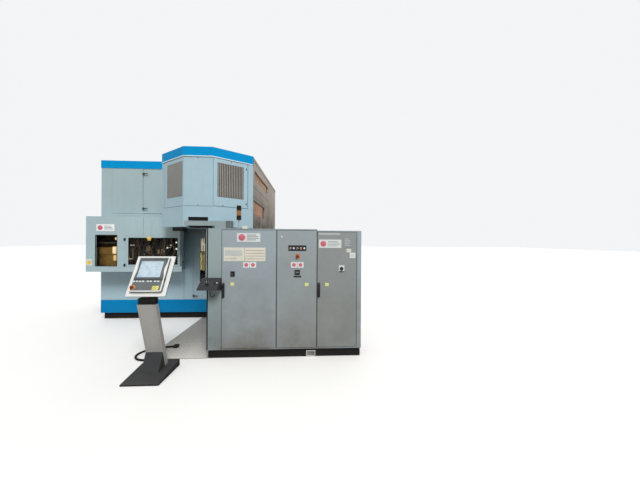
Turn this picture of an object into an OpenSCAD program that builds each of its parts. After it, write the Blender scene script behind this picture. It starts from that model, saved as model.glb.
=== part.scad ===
// Extrusion blow moulding machine with its electrical cabinets and operator pedestal.
// Millimetres, +Z up. The operator stands on the -Y side and looks along +Y.
// All places below are given in a plant frame: X = 0 is the left side of the cabinet row,
// Y = 0 is the cabinets' front and Z = 0 is the floor. place() moves that frame so that
// the origin lies under the middle of the whole machine.

/* [Main body] */
// Distance from the cabinet row's left side to the body's left side
body_left = 3000; // [2600:10:3400]
// Distance from the cabinet row's left side to the body's right side
body_right = 361; // [250:1:600]
// Depth of the walkway between the cabinets' front and the body's front
walk_d = 1850; // [1700:10:2200]
// Depth of the main body
body_d = 1800; // [1600:10:2200]
// Height of the recessed black plinth
plinth_h = 135; // [80:1:200]
// How far the plinth stands back
plinth_in = 45; // [20:1:90]
// Height of the blue base above the plinth
base_h = 280; // [200:5:350]
// Height of the platform that carries the extruder
deck_z = 1965; // [1900:5:2100]
// Height of the joint between lower housing and upper cabinet
split_z = 2290; // [2250:5:2400]
// Height of the upper cabinet
upper_h = 1140; // [1000:10:1300]
// Height of the blue roof band
fascia_h = 160; // [100:5:220]
// How far the blue band stands proud
fascia_out = 6; // [2:1:15]
// Thickness of the housing walls
wall = 25; // [20:1:40]

/* [Head housing] */
// Distance of its left side from the cabinet row's left side
bay_left = 1377; // [1300:1:1500]
// How far its straight side walls reach out in front of the body
bay_side_out = 600; // [450:10:700]
// How far its centre facet stands in front of the body
bay_front_out = 1050; // [850:10:1150]
// Left edge of the centre facet
bay_c0 = 750; // [700:5:850]
// Right edge of the centre facet
bay_c1 = 245; // [200:5:300]
// Top of the head housing
bay_top = 3390; // [3300:5:3420]
// Height of the seam round the facets above the platform
bay_seam_up = 368; // [315:1:435]
// Distance from the roof down to the top of the panels
bay_panel_drop = 175; // [165:1:240]
// Width of the louvred opening in the bay door
louvre_w = 478; // [380:1:520]
// Distance from the panels' top down to the louvred and slotted openings
louvre_drop = 85; // [60:5:200]
// Number of upright slats
slat_n = 18; // [10:1:24]
// Length of the extruder guard behind the body's front
guard_len = 2700; // [2500:10:2800]

/* [Guard box] */
// How far the guard box stands in front of the body
gbox_out = 360; // [250:10:500]
// Distance of its right side from the cabinet row's left side
gbox_right = 1122; // [1050:1:1200]
// How much further to the left its right side meets the body
gbox_taper = 132; // [60:2:180]
// Bottom of the guard box
gbox_z0 = 1070; // [1000:5:1150]
// Top of the guard box
gbox_z1 = 2190; // [2100:5:2240]
// Thickness of the panes
pane_t = 5; // [3:1:10]

/* [Doors] */
// Thickness of a door leaf
leaf_t = 22; // [18:1:30]
// Thickness of a leaf's front skin
leaf_skin = 3; // [2:1:5]
// Width of the folded rim round a leaf
leaf_rim = 26; // [22:1:40]
// Gap round a leaf
leaf_gap = 3.5; // [3.5:0.1:5]
// Distance of a pivot from the leaf's edge and face
pin_in = 8; // [7:0.5:9]
// Radius of a pivot pin
pin_r = 4; // [3:0.5:5]
// Running clearance of pins and spindles
fit = 0.05; // [0.02:0.01:0.1]
// Width of the stop frame behind a leaf
stop_w = 20; // [12:1:24]
// Radius of a lever latch spindle
spindle_r = 6; // [5:0.5:8]

/* [Electrical cabinets] */
// Width of the riser column at the left
riser_w = 200; // [150:10:300]
// Width of the first cabinet
cab1_w = 800; // [600:100:1000]
// Width of the second cabinet
cab2_w = 600; // [500:100:800]
// Width of the third cabinet
cab3_w = 600; // [500:100:800]
// Width of the closing panel at the right
end_w = 65; // [40:5:100]
// Depth of the cabinets
cab_d = 450; // [400:10:600]
// Height of their plinth
cab_plinth = 120; // [100:10:200]
// Top of the first two cabinets
cab_top = 1900; // [1800:10:2000]
// How much lower the third cabinet is
cab3_drop = 20; // [0:5:60]
// Thickness of cabinet walls
cab_wall = 20; // [15:1:30]

/* [Clamp and blow station] */
// Distance of the head's axis from the cabinet row's left side
head_x = 510; // [450:5:560]
// Distance of the blow station's axis from the cabinet row's left side
blow_x = 1650; // [1600:5:1700]
// Distance of the mould's parting plane behind the body's front
part_in = 650; // [620:5:750]
// Opening stroke of each mould half
open_d = 120; // [80:5:150]
// Thickness of a mould half
mould_t = 150; // [120:5:180]
// Width of a mould half
mould_w = 640; // [560:10:700]
// Height of a mould half
mould_h = 500; // [400:10:560]
// Bottom of the mould
mould_z = 1200; // [1150:5:1250]
// Thickness of a platen
platen_t = 60; // [40:5:80]
// Radius of a tie bar
tie_r = 32; // [25:1:40]
// Number of cavities
cav_n = 3; // [2:1:4]
// Distance between cavities
cav_pitch = 180; // [150:5:200]
// Radius of a bottle cavity
cav_r = 62; // [45:1:70]
// Radius of a blow pin
blow_r = 17; // [12:1:19]
// Clearance between faces that slide or close
slide_gap = 0.3; // [0.2:0.1:1]

/* [Extruder] */
// Height of the extruder's axis
ext_z = 2600; // [2500:10:2700]
// Outer radius of the barrel
barrel_r = 72; // [60:1:90]
// Radius of the screw's flight
screw_r = 45; // [35:1:50]
// Pitch of the screw's flight
screw_pitch = 90; // [70:5:110]
// Number of heater bands on the barrel
band_n = 5; // [3:1:6]
// Radius of the drive motor
motor_r = 150; // [120:5:170]
// Length of the drive motor without its fan cover
motor_l = 330; // [260:10:360]

/* [Operator pedestal] */
// Distance of its axis from the cabinet row's left side
hmi_x = 522; // [450:1:560]
// How far the panel's lower edge stands in front of the cabinets
hmi_front = 545; // [520:5:600]
// Width of the panel
hmi_w = 474; // [440:2:520]
// Height of the panel along its slope
hmi_h = 533; // [510:1:600]
// Depth of the panel housing
hmi_d = 110; // [100:5:130]
// How far the operating field stands proud of the housing
hmi_raise = 34; // [20:1:40]
// Height of the panel's lower front edge
hmi_z = 1034; // [1025:1:1100]
// Backward tilt of the panel
hmi_tilt = 26.5; // [20:0.5:32]
// How far the base plate stands in front of the cabinets
foot_front = 640; // [600:5:700]
// Width of the base plate
foot_w = 444; // [400:2:520]
// Depth of the base plate
foot_d = 475; // [440:5:520]
// Width of the column
col_w = 220; // [180:5:260]
// Thickness of the column
col_t = 60; // [50:2:90]

/* [Details] */
// Width of the console desk
desk_w = 275; // [220:5:320]
// How far the console stands out
desk_d = 185; // [150:5:240]
// Height of the console's upper edge
desk_z = 1178; // [1100:2:1240]
// Drop of the console's sloping top
desk_drop = 138; // [100:5:180]
// Outer diameter of the floor conduit
conduit_d = 28; // [20:1:32]
// Thickness of the chequer plate
chequer_t = 10; // [6:1:16]
// Width of the chequer plate
chequer_w = 850; // [700:10:1000]
// Diameter of the stack light
stack_d = 70; // [50:5:80]

/* [Hidden] */
$fn = 64;
base_top = plinth_h + base_h;
body_y = walk_d;
rear_y = walk_d + body_d;
guard_end_y = walk_d + guard_len;
gbox_y = walk_d - gbox_out;
gbox_back = gbox_right + gbox_taper;
bay_side_y = walk_d - bay_side_out;
bay_front_y = walk_d - bay_front_out;
bay_seam = deck_z + bay_seam_up;
bay_panel_top = bay_top - bay_panel_drop;
part_y = walk_d + part_in;
upper_top = split_z + upper_h;
cab_x1 = riser_w;
cab_x2 = cab_x1 + cab1_w;
cab_x3 = cab_x2 + cab2_w;
cab_x4 = cab_x3 + cab3_w;
cab_right = cab_x4 + end_w;
mid_x = (cab_right - body_left - fascia_out) / 2;
foot_y0 = -foot_front;
mid_y = (guard_end_y - foot_front) / 2;
stop_y = leaf_t + 3;
rebate = stop_y;
spindle_bore = spindle_r + fit;

// Facets of the head housing: corner points, outward normals and directions
left_side = [-bay_left, bay_side_y];
left_corner = [-bay_c0, bay_front_y];
right_corner = [-bay_c1, bay_front_y];
right_side = [body_right, bay_side_y];
left_len = norm(left_corner - left_side);
right_len = norm(right_side - right_corner);
left_ang = atan2(left_corner.y - left_side.y, left_corner.x - left_side.x);
right_ang = atan2(right_side.y - right_corner.y, right_side.x - right_corner.x);
left_n = [sin(left_ang), -cos(left_ang)];
right_n = [sin(right_ang), -cos(right_ang)];
bay_rear = bay_side_y + 50;
louvre_z = bay_seam + 182;
louvre_h = bay_panel_top - louvre_drop - louvre_z;
mesh_x = 200;
mesh_w = 530;
bay_leaf_x = 12;
bay_leaf_w = right_len - 110;
bay_leaf_z = bay_seam + 6;
bay_leaf_h = bay_panel_top - bay_seam - 12;
notch_x0 = -bay_c0 + 82;
notch_x1 = -bay_c0 + 431;
notch_z = deck_z + 172;

// Leaves of the main body: left edge, bottom, width and height
up_leaf = [-2134, split_z + stop_w + 1, 729, upper_top - fascia_h - split_z - stop_w - 13];
gd_leaf = [-2219, gbox_z0 + 110, 1060, 620];
sv_leaf = [-1057, base_top + 20, 594, deck_z - base_top - 40];
up_latch_z = [90, up_leaf[3] - 100];
sv_latch_z = 60;
gbox_win = [-2815, 1186, -2400, 1812];
gd_win = [47, 42, 1010, 578];
sv_win = [152, 340, 257, 1330];
sv_win2 = [282, 340, 540, 1330];

// Cabinet doors: left edge, width, height
door_z = cab_plinth + 18;
door_top = cab_top - 18;
cab_door = [
    [cab_x1 + leaf_gap, cab1_w - 2 * leaf_gap, door_top - door_z],
    [cab_x2 + leaf_gap, cab2_w - 2 * leaf_gap, door_top - door_z],
    [cab_x3 + leaf_gap, cab3_w - 2 * leaf_gap, door_top - cab3_drop - door_z]
];
handle_x = 24;
handle_z = 1084;
handle_len = 196;
handle_r = 8;
knob_r = 19;
knob_bore = 5;
sel_pos = [360, 1231];
main_pos = [1968, 1311];
stop_pos = [1309, 1496];
pad_t = 1.5;

// Clamp unit
bed_y0 = part_y - 330;
bed_y1 = part_y + 430;
bed_x0 = -body_left + 500;
bed_x1 = body_right - 161;
rail_w = 45;
rail_h = 40;
rail_z = 700;
car_w = 840;
car_z0 = rail_z + rail_h + slide_gap;
car_z1 = car_z0 + 90;
yoke_t = 70;
yoke_front = part_y - mould_t - open_d - platen_t - 130;
yoke_rear = part_y + mould_t + open_d + platen_t + 220;
tie_x = car_w / 2 - 50;
tie_z = [car_z1 + 110, mould_z + mould_h + 60];
clamp_z = mould_z + mould_h / 2;
shuttle = blow_x - head_x;
ram_r = 45;
pin_top = 2050;
pin_tip = mould_z + mould_h + 95;
blow_stroke = 130;
guide_r = 20;
bridge_z = split_z - 50;
bridge_w = 230;
blow_w = bridge_w - 4;
die_r = 38;
die_z = mould_z + mould_h + 100;
barrel_y0 = part_y + 120;
gear_l = 280;
drive_gap = 140;
barrel_y1 = guard_end_y - drive_gap - motor_l - gear_l;
gear_y1 = barrel_y1 + gear_l;
hopper_y = barrel_y1 - 170;
hopper_neck = ext_z + 240;
hopper_top = bay_top - 60;
cone_top = hopper_neck + (hopper_top - hopper_neck) / 2;

// Operator pedestal
foot_x0 = -hmi_x - foot_w / 2;
foot_t0 = 18;
foot_t1 = 88;
col_top = 930;
col_top_y = -hmi_front + 50;
col_foot = 62;
col_foot_y = col_top_y + 226;
lean = (col_foot_y - col_top_y) / (col_top - col_foot);
neck_top = hmi_z - 16;
hmi_plate_t = 16;
back_in = 62;
neck_y = col_top_y + 8;
swivel_r = 46;
field_x = hmi_w / 2 - 48;
field_z0 = 54;
field_z1 = hmi_h - 36;
screen_x = [-152, 128];
screen_z = [236, 452];
hmi_stop = [-159, 106];

// Floor conduit: its route from the pedestal's rear to the inlet on the chequer plate
conduit_r = conduit_d / 2;
conduit_points = [
    [-600, -147, 46], [-600, -120, 44], [-610, -92, 36], [-634, -62, 24], [-668, -42, 16],
    [-712, -34, 14], [-762, -36, 14], [-815, -40, 14], [-868, -38, 14], [-922, -28, 14],
    [-974, -6, 14], [-1020, 30, 14], [-1054, 78, 14], [-1070, 132, 14], [-1066, 188, 14],
    [-1042, 238, 14], [-1002, 276, 15], [-954, 302, 19], [-902, 320, 23], [-848, 334, 25],
    [-796, 348, 25], [-750, 360, 25], [-706, 368, 25], [-664, 370, 25]
];
inlet_x = -664;
inlet_y = 370;

// General helpers
module place() translate([-mid_x, -mid_y, 0]) children();

module span(a, b) translate(a) cube(b - a);

module rod_y(x, y0, y1, z, r) translate([x, y0, z]) rotate([-90, 0, 0]) cylinder(r = r, h = y1 - y0);

module rod_z(x, y, z0, z1, r) translate([x, y, z0]) cylinder(r = r, h = z1 - z0);

function miter(a, b) = (a + b) / (1 + a * b);

// Outline of the head housing, d inside (negative) or outside (positive) its faces
function bay_outline(d, rear) = [
    [-bay_left - d, rear],
    left_side + d * miter([-1, 0], left_n),
    left_corner + d * miter(left_n, [0, -1]),
    right_corner + d * miter([0, -1], right_n),
    right_side + d * miter(right_n, [1, 0]),
    [body_right + d, rear]
];

module bay_prism(d, rear, z0, z1) translate([0, 0, z0]) linear_extrude(z1 - z0)
    polygon(bay_outline(d, rear));

// Local frames on the slanted facets: x along the facet, y inwards, z up
module on_left_facet() translate([left_side.x, left_side.y, 0]) rotate([0, 0, left_ang]) children();

module on_right_facet() translate([right_corner.x, right_corner.y, 0]) rotate([0, 0, right_ang])
    children();

// A door leaf: a folded pan, outer face at y = 0, with a blind pivot bore at each end of one edge
module leaf(w, h, hinge_right = true) {
    axis_x = hinge_right ? w - pin_in : pin_in;
    difference() {
        cube([w, leaf_t, h]);
        translate([leaf_rim, leaf_skin, leaf_rim]) cube([w - 2 * leaf_rim, leaf_t, h - 2 * leaf_rim]);
        rod_z(axis_x, pin_in, -1, 16, pin_r + fit);
        rod_z(axis_x, pin_in, h - 16, h + 1, pin_r + fit);
    }
}

// What the wall gives up for a leaf
module leaf_cut(w, h) translate([-leaf_gap, -1, -leaf_gap])
    cube([w + 2 * leaf_gap, rebate + 1, h + 2 * leaf_gap]);

// The stop frame behind a leaf with the two pivot pins
module leaf_frame(w, h, hinge_right = true) {
    axis_x = hinge_right ? w - pin_in : pin_in;
    difference() {
        translate([-stop_w, rebate, -stop_w]) cube([w + 2 * stop_w, 12, h + 2 * stop_w]);
        translate([stop_w, rebate - 1, stop_w]) cube([w - 2 * stop_w, 14, h - 2 * stop_w]);
    }
    rod_z(axis_x, pin_in, -leaf_gap - 6, 14, pin_r);
    rod_z(axis_x, pin_in, h - 14, h + leaf_gap + 6, pin_r);
}

// A round rosette with a lever that points along +x
module lever_latch() {
    rotate([90, 0, 0]) cylinder(r = 24, h = 8);
    translate([0, 12, 0]) rotate([90, 0, 0]) cylinder(r = spindle_r, h = 13);
    rotate([90, 0, 0]) cylinder(r = 12, h = 34);
    difference() {
        translate([0, -24, 0]) rotate([90, 0, 0]) linear_extrude(12)
            polygon([[-12, -9], [96, -7], [104, 0], [96, 7], [-12, 9]]);
        translate([60, -37, -3]) cube([30, 4, 6]);
    }
}

// Pads on a cabinet door: raised plates, each as left, right, bottom, top in the plant frame
module pads(list) {
    for (p = list) span([p[0], -pad_t, p[2]], [p[1], 0.5, p[3]]);
}

module cabinet_leaf(i, plates, bores) {
    d = cab_door[i];
    difference() {
        union() {
            translate([d[0], 0, door_z]) leaf(d[1], d[2]);
            pads(plates);
            for (b = bores) span([max(b[0] - 34, d[0] + 1), 0.5, b[1] - 34], [b[0] + 34, leaf_t - 2, b[1] + 34]);
        }
        for (b = bores) rod_y(b[0], -pad_t - 1, leaf_t, b[1], b[2]);
    }
}

module plinths() color([0.08, 0.08, 0.09]) place() {
    span([-body_left + plinth_in, body_y + plinth_in, 0], [body_right - plinth_in, rear_y - plinth_in, plinth_h]);
    span([12, 15, 0], [cab_right - 12, cab_d - 15, cab_plinth]);
}

module machine_base() color([0.10, 0.36, 0.66]) place() {
    span([-body_left, body_y, plinth_h], [body_right, rear_y, base_top]);
    for (x = [-bay_left + 90, body_right - 210]) {
        span([x, guard_end_y - 170, 14], [x + 120, guard_end_y - 50, deck_z]);
        span([x - 40, guard_end_y - 210, 0], [x + 160, guard_end_y - 10, 14]);
    }
}

module lower_housing() color([0.62, 0.74, 0.80]) place() {
    difference() {
        union() {
            span([-body_left, body_y, base_top], [-bay_left, rear_y, split_z]);
            span([-bay_left, body_y, base_top], [body_right, rear_y, deck_z]);
        }
        difference() {
            union() {
                span([-body_left + wall, body_y + wall, base_top - 1], [-bay_left - wall, rear_y - wall, split_z + 1]);
                span([-bay_left - wall - 1, body_y + wall, base_top - 1],
                    [body_right - wall, rear_y - wall, deck_z + 1]);
            }
            // The wall above the platform, between blow station and head
            span([-bay_left - wall, body_y, deck_z], [-bay_left, rear_y, split_z]);
        }
        // Way through to the guard box
        span([-body_left + 50, body_y - 1, gbox_z0 + 40], [-gbox_back - 40, body_y + wall + 1, gbox_z1 - 40]);
        // Service doorway
        translate([sv_leaf[0], body_y, sv_leaf[1]]) leaf_cut(sv_leaf[2], sv_leaf[3]);
        // Panel joints
        span([-gbox_back + 2, body_y - 1, base_top - 1], [-gbox_back + 7, body_y + 2, deck_z - 20]);
        span([-2200, body_y - 1, base_top - 1], [-2195, body_y + 2, gbox_z0 - 5]);
        for (x = [-2400, -1800, -1200, -600]) span([x, rear_y - 2, base_top - 1], [x + 5, rear_y + 1, deck_z - 20]);
        for (y = [body_y + 600, body_y + 1200]) {
            span([-body_left - 1, y, base_top - 1], [-body_left + 2, y + 5, split_z - 20]);
            span([body_right - 2, y, base_top - 1], [body_right + 1, y + 5, deck_z - 20]);
        }
    }
    translate([sv_leaf[0], body_y, sv_leaf[1]]) leaf_frame(sv_leaf[2], sv_leaf[3]);
}

module upper_cabinet() color([0.62, 0.74, 0.80]) place() {
    difference() {
        span([-body_left, body_y, split_z], [-bay_left, rear_y, upper_top]);
        span([-body_left + wall, body_y + wall, split_z - 1], [-bay_left - wall, rear_y - wall, upper_top - 8]);
        translate([up_leaf[0], body_y, up_leaf[1]]) leaf_cut(up_leaf[2], up_leaf[3]);
        // Panel joints
        span([-2779, body_y - 1, split_z - 1], [-2774, body_y + 2, upper_top - fascia_h]);
        for (x = [-2450, -1900]) span([x, rear_y - 2, split_z - 1], [x + 5, rear_y + 1, upper_top - fascia_h]);
        for (y = [body_y + 600, body_y + 1200])
            span([-body_left - 1, y, split_z - 1], [-body_left + 2, y + 5, upper_top - fascia_h]);
    }
    translate([up_leaf[0], body_y, up_leaf[1]]) leaf_frame(up_leaf[2], up_leaf[3]);
}

// One closed band round the upper cabinet and one round the head housing
module roof_fascia() color([0.12, 0.45, 0.78]) place() {
    difference() {
        span([-body_left - fascia_out, body_y - fascia_out, upper_top - fascia_h],
            [-bay_left + fascia_out, rear_y + fascia_out, upper_top + 4]);
        span([-body_left, body_y, upper_top - fascia_h - 1], [-bay_left, rear_y, upper_top]);
        // The band stops where the head housing's roof meets it
        span([-bay_left - 0.5, body_y - 40, upper_top - fascia_h - 1], [-bay_left + 20, rear_y + 20, bay_top + 5]);
    }
    difference() {
        bay_prism(fascia_out, bay_rear, bay_top - fascia_h, bay_top);
        bay_prism(0, bay_rear + 1, bay_top - fascia_h - 1, bay_top + 1);
    }
}

module head_housing() color([0.66, 0.78, 0.84]) place() {
    difference() {
        union() {
            bay_prism(0, bay_rear, deck_z, bay_top);
            span([-bay_left, bay_rear - 1, deck_z], [body_right, body_y, bay_top]);
        }
        bay_prism(-wall, bay_rear + 1, deck_z + 12, bay_top - 8);
        span([-bay_left + wall, bay_rear - 1, deck_z + 12], [body_right - wall, body_y + 1, bay_top - 8]);
        // The straight side wall at the right belongs to the extruder guard
        span([body_right - wall, bay_rear, deck_z - 1], [body_right + 1, body_y + 1, bay_top + 1]);
        // Ventilation slots in the left facet
        on_left_facet() for (i = [0 : slat_n - 1])
            translate([mesh_x + i * mesh_w / slat_n, -1, louvre_z])
                cube([mesh_w / slat_n * 0.55, wall + 2, louvre_h]);
        on_right_facet() translate([bay_leaf_x, 0, bay_leaf_z]) leaf_cut(bay_leaf_w, bay_leaf_h);
        // Cable notch in the centre facet
        span([notch_x0, bay_front_y - 1, deck_z - 1], [notch_x1, bay_front_y + wall + 1, notch_z]);
        // Seams round the facets
        for (z = [bay_seam, bay_panel_top]) difference() {
            bay_prism(1, bay_rear, z - 3, z + 3);
            bay_prism(-2, bay_rear + 1, z - 4, z + 4);
        }
    }
    on_right_facet() translate([bay_leaf_x, 0, bay_leaf_z]) leaf_frame(bay_leaf_w, bay_leaf_h);
}

// The louvred door on the right facet; its slats stand slanted in the opening
module bay_door() color([0.66, 0.78, 0.84]) place() on_right_facet()
    translate([bay_leaf_x, 0, bay_leaf_z]) {
        x0 = 88 - bay_leaf_x;
        z0 = louvre_z - bay_leaf_z;
        difference() {
            union() {
                leaf(bay_leaf_w, bay_leaf_h);
                translate([x0 - 14, 1, z0 - 14]) cube([louvre_w + 28, leaf_t - 3, louvre_h + 28]);
            }
            translate([x0, -1, z0]) cube([louvre_w, leaf_t + 2, louvre_h]);
        }
        pitch = louvre_w / slat_n;
        intersection() {
            for (i = [0 : slat_n - 1])
                translate([x0 + (i + 0.5) * pitch, 9, z0 - 2]) rotate([0, 0, 35])
                    translate([-9, -1, 0]) cube([18, 2, louvre_h + 4]);
            translate([x0 - 8, 1, z0 - 2]) cube([louvre_w + 16, leaf_t - 4, louvre_h + 4]);
        }
    }

side_win = [bay_rear + 115, bay_top - 420, rear_y - 560, bay_top - 230];
side_win2 = [bay_rear + 50, deck_z + 290, body_y + 726, bay_top - 850];

module extruder_guard() color([0.62, 0.72, 0.78]) place() {
    difference() {
        union() {
            span([-bay_left, body_y, deck_z], [body_right, guard_end_y, bay_top]);
            span([body_right - wall, bay_rear, deck_z], [body_right, body_y + 1, bay_top]);
        }
        span([-bay_left + wall, body_y - 1, deck_z + 20], [body_right - wall, guard_end_y - wall, bay_top - 8]);
        for (w = [side_win, side_win2])
            span([body_right - wall - 1, w[0], w[1]], [body_right + 1, w[2], w[3]]);
        // Opening in the floor under the head
        span([-head_x - 420, part_y - 200, deck_z - 1], [-head_x + 420, part_y + 200, deck_z + 21]);
        // Joints of the side and end panels
        for (y = [rear_y - 550, rear_y + 150]) span([body_right - 2, y, deck_z + 30], [body_right + 1, y + 5, bay_top - 60]);
        for (z = [bay_top - 620, bay_top - 820])
            span([body_right - 2, bay_rear + 1, z], [body_right + 1, rear_y - 550, z + 5]);
        for (y = [rear_y + 20, rear_y + 460])
            span([-bay_left - 1, y, deck_z + 30], [-bay_left + 2, y + 5, bay_top - 60]);
        for (x = [-900, -300]) span([x, guard_end_y - 2, deck_z + 30], [x + 5, guard_end_y + 1, bay_top - 60]);
        // Cooling slots for the drive in the end wall
        for (i = [0 : 7])
            span([-head_x - 260, guard_end_y - wall - 1, 2120 + i * 45], [-head_x + 260, guard_end_y + 1, 2140 + i * 45]);
    }
    // Top rail
    span([body_right, bay_rear, bay_top - 55], [body_right + 8, guard_end_y, bay_top]);
}

// Smoked panes of the extruder guard and the clear pane of the guard box
module fixed_windows() color([0.35, 0.25, 0.16, 0.5]) place() {
    for (w = [side_win, side_win2])
        span([body_right - wall - pane_t, w[0] - 30, w[1] - 30], [body_right - wall, w[2] + 30, w[3] + 30]);
    span([gbox_win[0] - 30, gbox_y + wall, gbox_win[1] - 30],
        [gbox_win[2] + 30, gbox_y + wall + pane_t, gbox_win[3] + 30]);
}

// Right side of the guard box: it runs back and to the left from the front to the body
function gbox_edge(y, d) = -gbox_right - d - gbox_taper * (y - gbox_y) / gbox_out;

module gbox_prism(z0, z1, x0, y0, y1, d) translate([0, 0, z0]) linear_extrude(z1 - z0)
    polygon([[x0, y0], [gbox_edge(y0, d), y0], [gbox_edge(y1, d), y1], [x0, y1]]);

module guard_box() color([0.62, 0.74, 0.80]) place() {
    difference() {
        gbox_prism(gbox_z0, gbox_z1, -body_left, gbox_y, body_y, 0);
        // Its upper part ends at the head housing, its lower part reaches in below it
        span([-bay_left, gbox_y - 1, deck_z], [-gbox_right + 1, body_y + 1, gbox_z1 + 1]);
        span([-body_left + wall, gbox_y + wall, gbox_z0 + wall], [-bay_left - wall, body_y + 1, gbox_z1 - wall]);
        gbox_prism(gbox_z0 + wall, deck_z - wall, -bay_left - wall - 1, gbox_y + wall, body_y + 1, wall * 1.07);
        span([gbox_win[0], gbox_y - 1, gbox_win[1]], [gbox_win[2], gbox_y + wall + 1, gbox_win[3]]);
        translate([gd_leaf[0], gbox_y, gd_leaf[1]]) leaf_cut(gd_leaf[2], gd_leaf[3]);
        span([-1664, gbox_y - 1, gd_leaf[1] + gd_leaf[3] + 20], [-1659, gbox_y + 2, gbox_z1 + 1]);
        span([-2260, gbox_y - 1, gbox_z0 - 1], [-2255, gbox_y + 2, gbox_z1 + 1]);
    }
    translate([gd_leaf[0], gbox_y, gd_leaf[1]]) leaf_frame(gd_leaf[2], gd_leaf[3], false);
}

module upper_door() color([0.62, 0.74, 0.80]) place() difference() {
    translate([up_leaf[0], body_y, up_leaf[1]]) leaf(up_leaf[2], up_leaf[3]);
    for (z = up_latch_z) rod_y(up_leaf[0] + 13, body_y - 1, body_y + leaf_t + 1, up_leaf[1] + z, spindle_bore);
}

module latch_at(p) translate([p.x, p.y, p.z]) lever_latch();

module latch_upper() color([0.10, 0.10, 0.11]) place()
    latch_at([up_leaf[0] + 13, body_y, up_leaf[1] + up_latch_z[1]]);

module latch_lower() color([0.10, 0.10, 0.11]) place()
    latch_at([up_leaf[0] + 13, body_y, up_leaf[1] + up_latch_z[0]]);

module latch_service() color([0.10, 0.10, 0.11]) place()
    latch_at([sv_leaf[0] + 13, body_y, sv_leaf[1] + sv_latch_z]);

module guard_door() color([0.62, 0.74, 0.80]) place() translate([gd_leaf[0], gbox_y, gd_leaf[1]]) {
    difference() {
        leaf(gd_leaf[2], gd_leaf[3], false);
        translate([gd_win[0], -1, gd_win[1]]) cube([gd_win[2] - gd_win[0], leaf_t, gd_win[3] - gd_win[1]]);
    }
    // Pull handle at the free edge
    translate([gd_leaf[2] - 24, 0, 240]) {
        for (z = [6, 134]) translate([0, 1, z]) rotate([90, 0, 0]) cylinder(r = 6, h = 31);
        translate([-8, -36, -6]) cube([16, 10, 152]);
    }
}

module guard_door_window() color([0.75, 0.85, 0.9, 0.3]) place()
    translate([gd_leaf[0], gbox_y + leaf_skin, gd_leaf[1]])
        translate([leaf_rim + 2, 0, leaf_rim + 2])
            cube([gd_leaf[2] - 2 * leaf_rim - 4, pane_t, gd_leaf[3] - 2 * leaf_rim - 4]);

module service_door() color([0.62, 0.74, 0.80]) place() difference() {
    translate([sv_leaf[0], body_y, sv_leaf[1]]) leaf(sv_leaf[2], sv_leaf[3]);
    for (w = [sv_win, sv_win2])
        translate([sv_leaf[0], body_y, sv_leaf[1]]) span([w[0], -1, w[1]], [w[2], leaf_t + 1, w[3]]);
    rod_y(sv_leaf[0] + 13, body_y - 1, body_y + leaf_t + 1, sv_leaf[1] + sv_latch_z, spindle_bore);
}

module service_door_window() color([0.75, 0.85, 0.9, 0.3]) place()
    translate([sv_leaf[0], body_y + leaf_skin, sv_leaf[1]])
        translate([sv_win[0] - 25, 0, sv_win[1] - 25])
            cube([sv_win2[2] - sv_win[0] + 50, pane_t, sv_win[3] - sv_win[1] + 50]);

// Longitudinal beams of the bed on cross members
module machine_bed() color([0.42, 0.46, 0.48]) place() {
    for (y = [bed_y0, bed_y1]) difference() {
        span([bed_x0, y - 60, base_top], [bed_x1, y + 60, rail_z]);
        for (i = [0 : 5]) rod_y(bed_x0 + 120 + i * (bed_x1 - bed_x0 - 240) / 5, y - 61, y + 61, base_top + 140, 70);
    }
    for (x = [bed_x0 + 50, (bed_x0 + bed_x1) / 2, bed_x1 - 130]) span([x, bed_y0 + 60, base_top], [x + 90, bed_y1 - 60, base_top + 120]);
}

module guide_rails() color([0.75, 0.76, 0.77]) place()
    for (y = [bed_y0, bed_y1]) difference() {
        span([bed_x0 + 20, y - rail_w / 2, rail_z], [bed_x1 - 20, y + rail_w / 2, rail_z + rail_h]);
        for (s = [-1, 1]) span([bed_x0 + 19, y + s * rail_w / 2 - 5, rail_z + 14], [bed_x1 - 19, y + s * rail_w / 2 + 5, rail_z + 24]);
    }

module yoke(y) difference() {
    span([-blow_x - car_w / 2, y, car_z1 - 1], [-blow_x + car_w / 2, y + yoke_t, tie_z[1] + 80]);
    span([-blow_x - tie_x + 90, y - 1, car_z1 + 60], [-blow_x + tie_x - 90, y + yoke_t + 1, tie_z[1] - 70]);
}

// Carriage plate with its shoes, the two yokes and the tie bars
module clamp_carriage() color([0.30, 0.42, 0.52]) place() {
    difference() {
        span([-blow_x - car_w / 2, yoke_front, car_z0], [-blow_x + car_w / 2, yoke_rear + yoke_t, car_z1]);
        span([-blow_x - 200, part_y - 170, car_z0 - 1], [-blow_x + 200, part_y + 170, car_z1 + 1]);
    }
    for (y = [bed_y0, bed_y1]) for (s = [-1, 1]) for (t = [-1, 1])
        span([-blow_x + s * 300 - 80, y + t * 42 - 18, rail_z + 8], [-blow_x + s * 300 + 80, y + t * 42 + 18, car_z0 + 1]);
    yoke(yoke_front);
    difference() {
        yoke(yoke_rear);
        rod_y(-blow_x, yoke_rear - 1, yoke_rear + yoke_t + 1, clamp_z, 110);
    }
    // Bridge that carries the cylinder in the rear yoke
    difference() {
        span([-blow_x - tie_x + 80, yoke_rear, clamp_z - 130], [-blow_x + tie_x - 80, yoke_rear + yoke_t, clamp_z + 130]);
        rod_y(-blow_x, yoke_rear - 1, yoke_rear + yoke_t + 1, clamp_z, 80);
    }
    for (s = [-1, 1]) for (z = tie_z) rod_y(-blow_x + s * tie_x, yoke_front - 30, yoke_rear + yoke_t + 30, z, tie_r);
}

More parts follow.
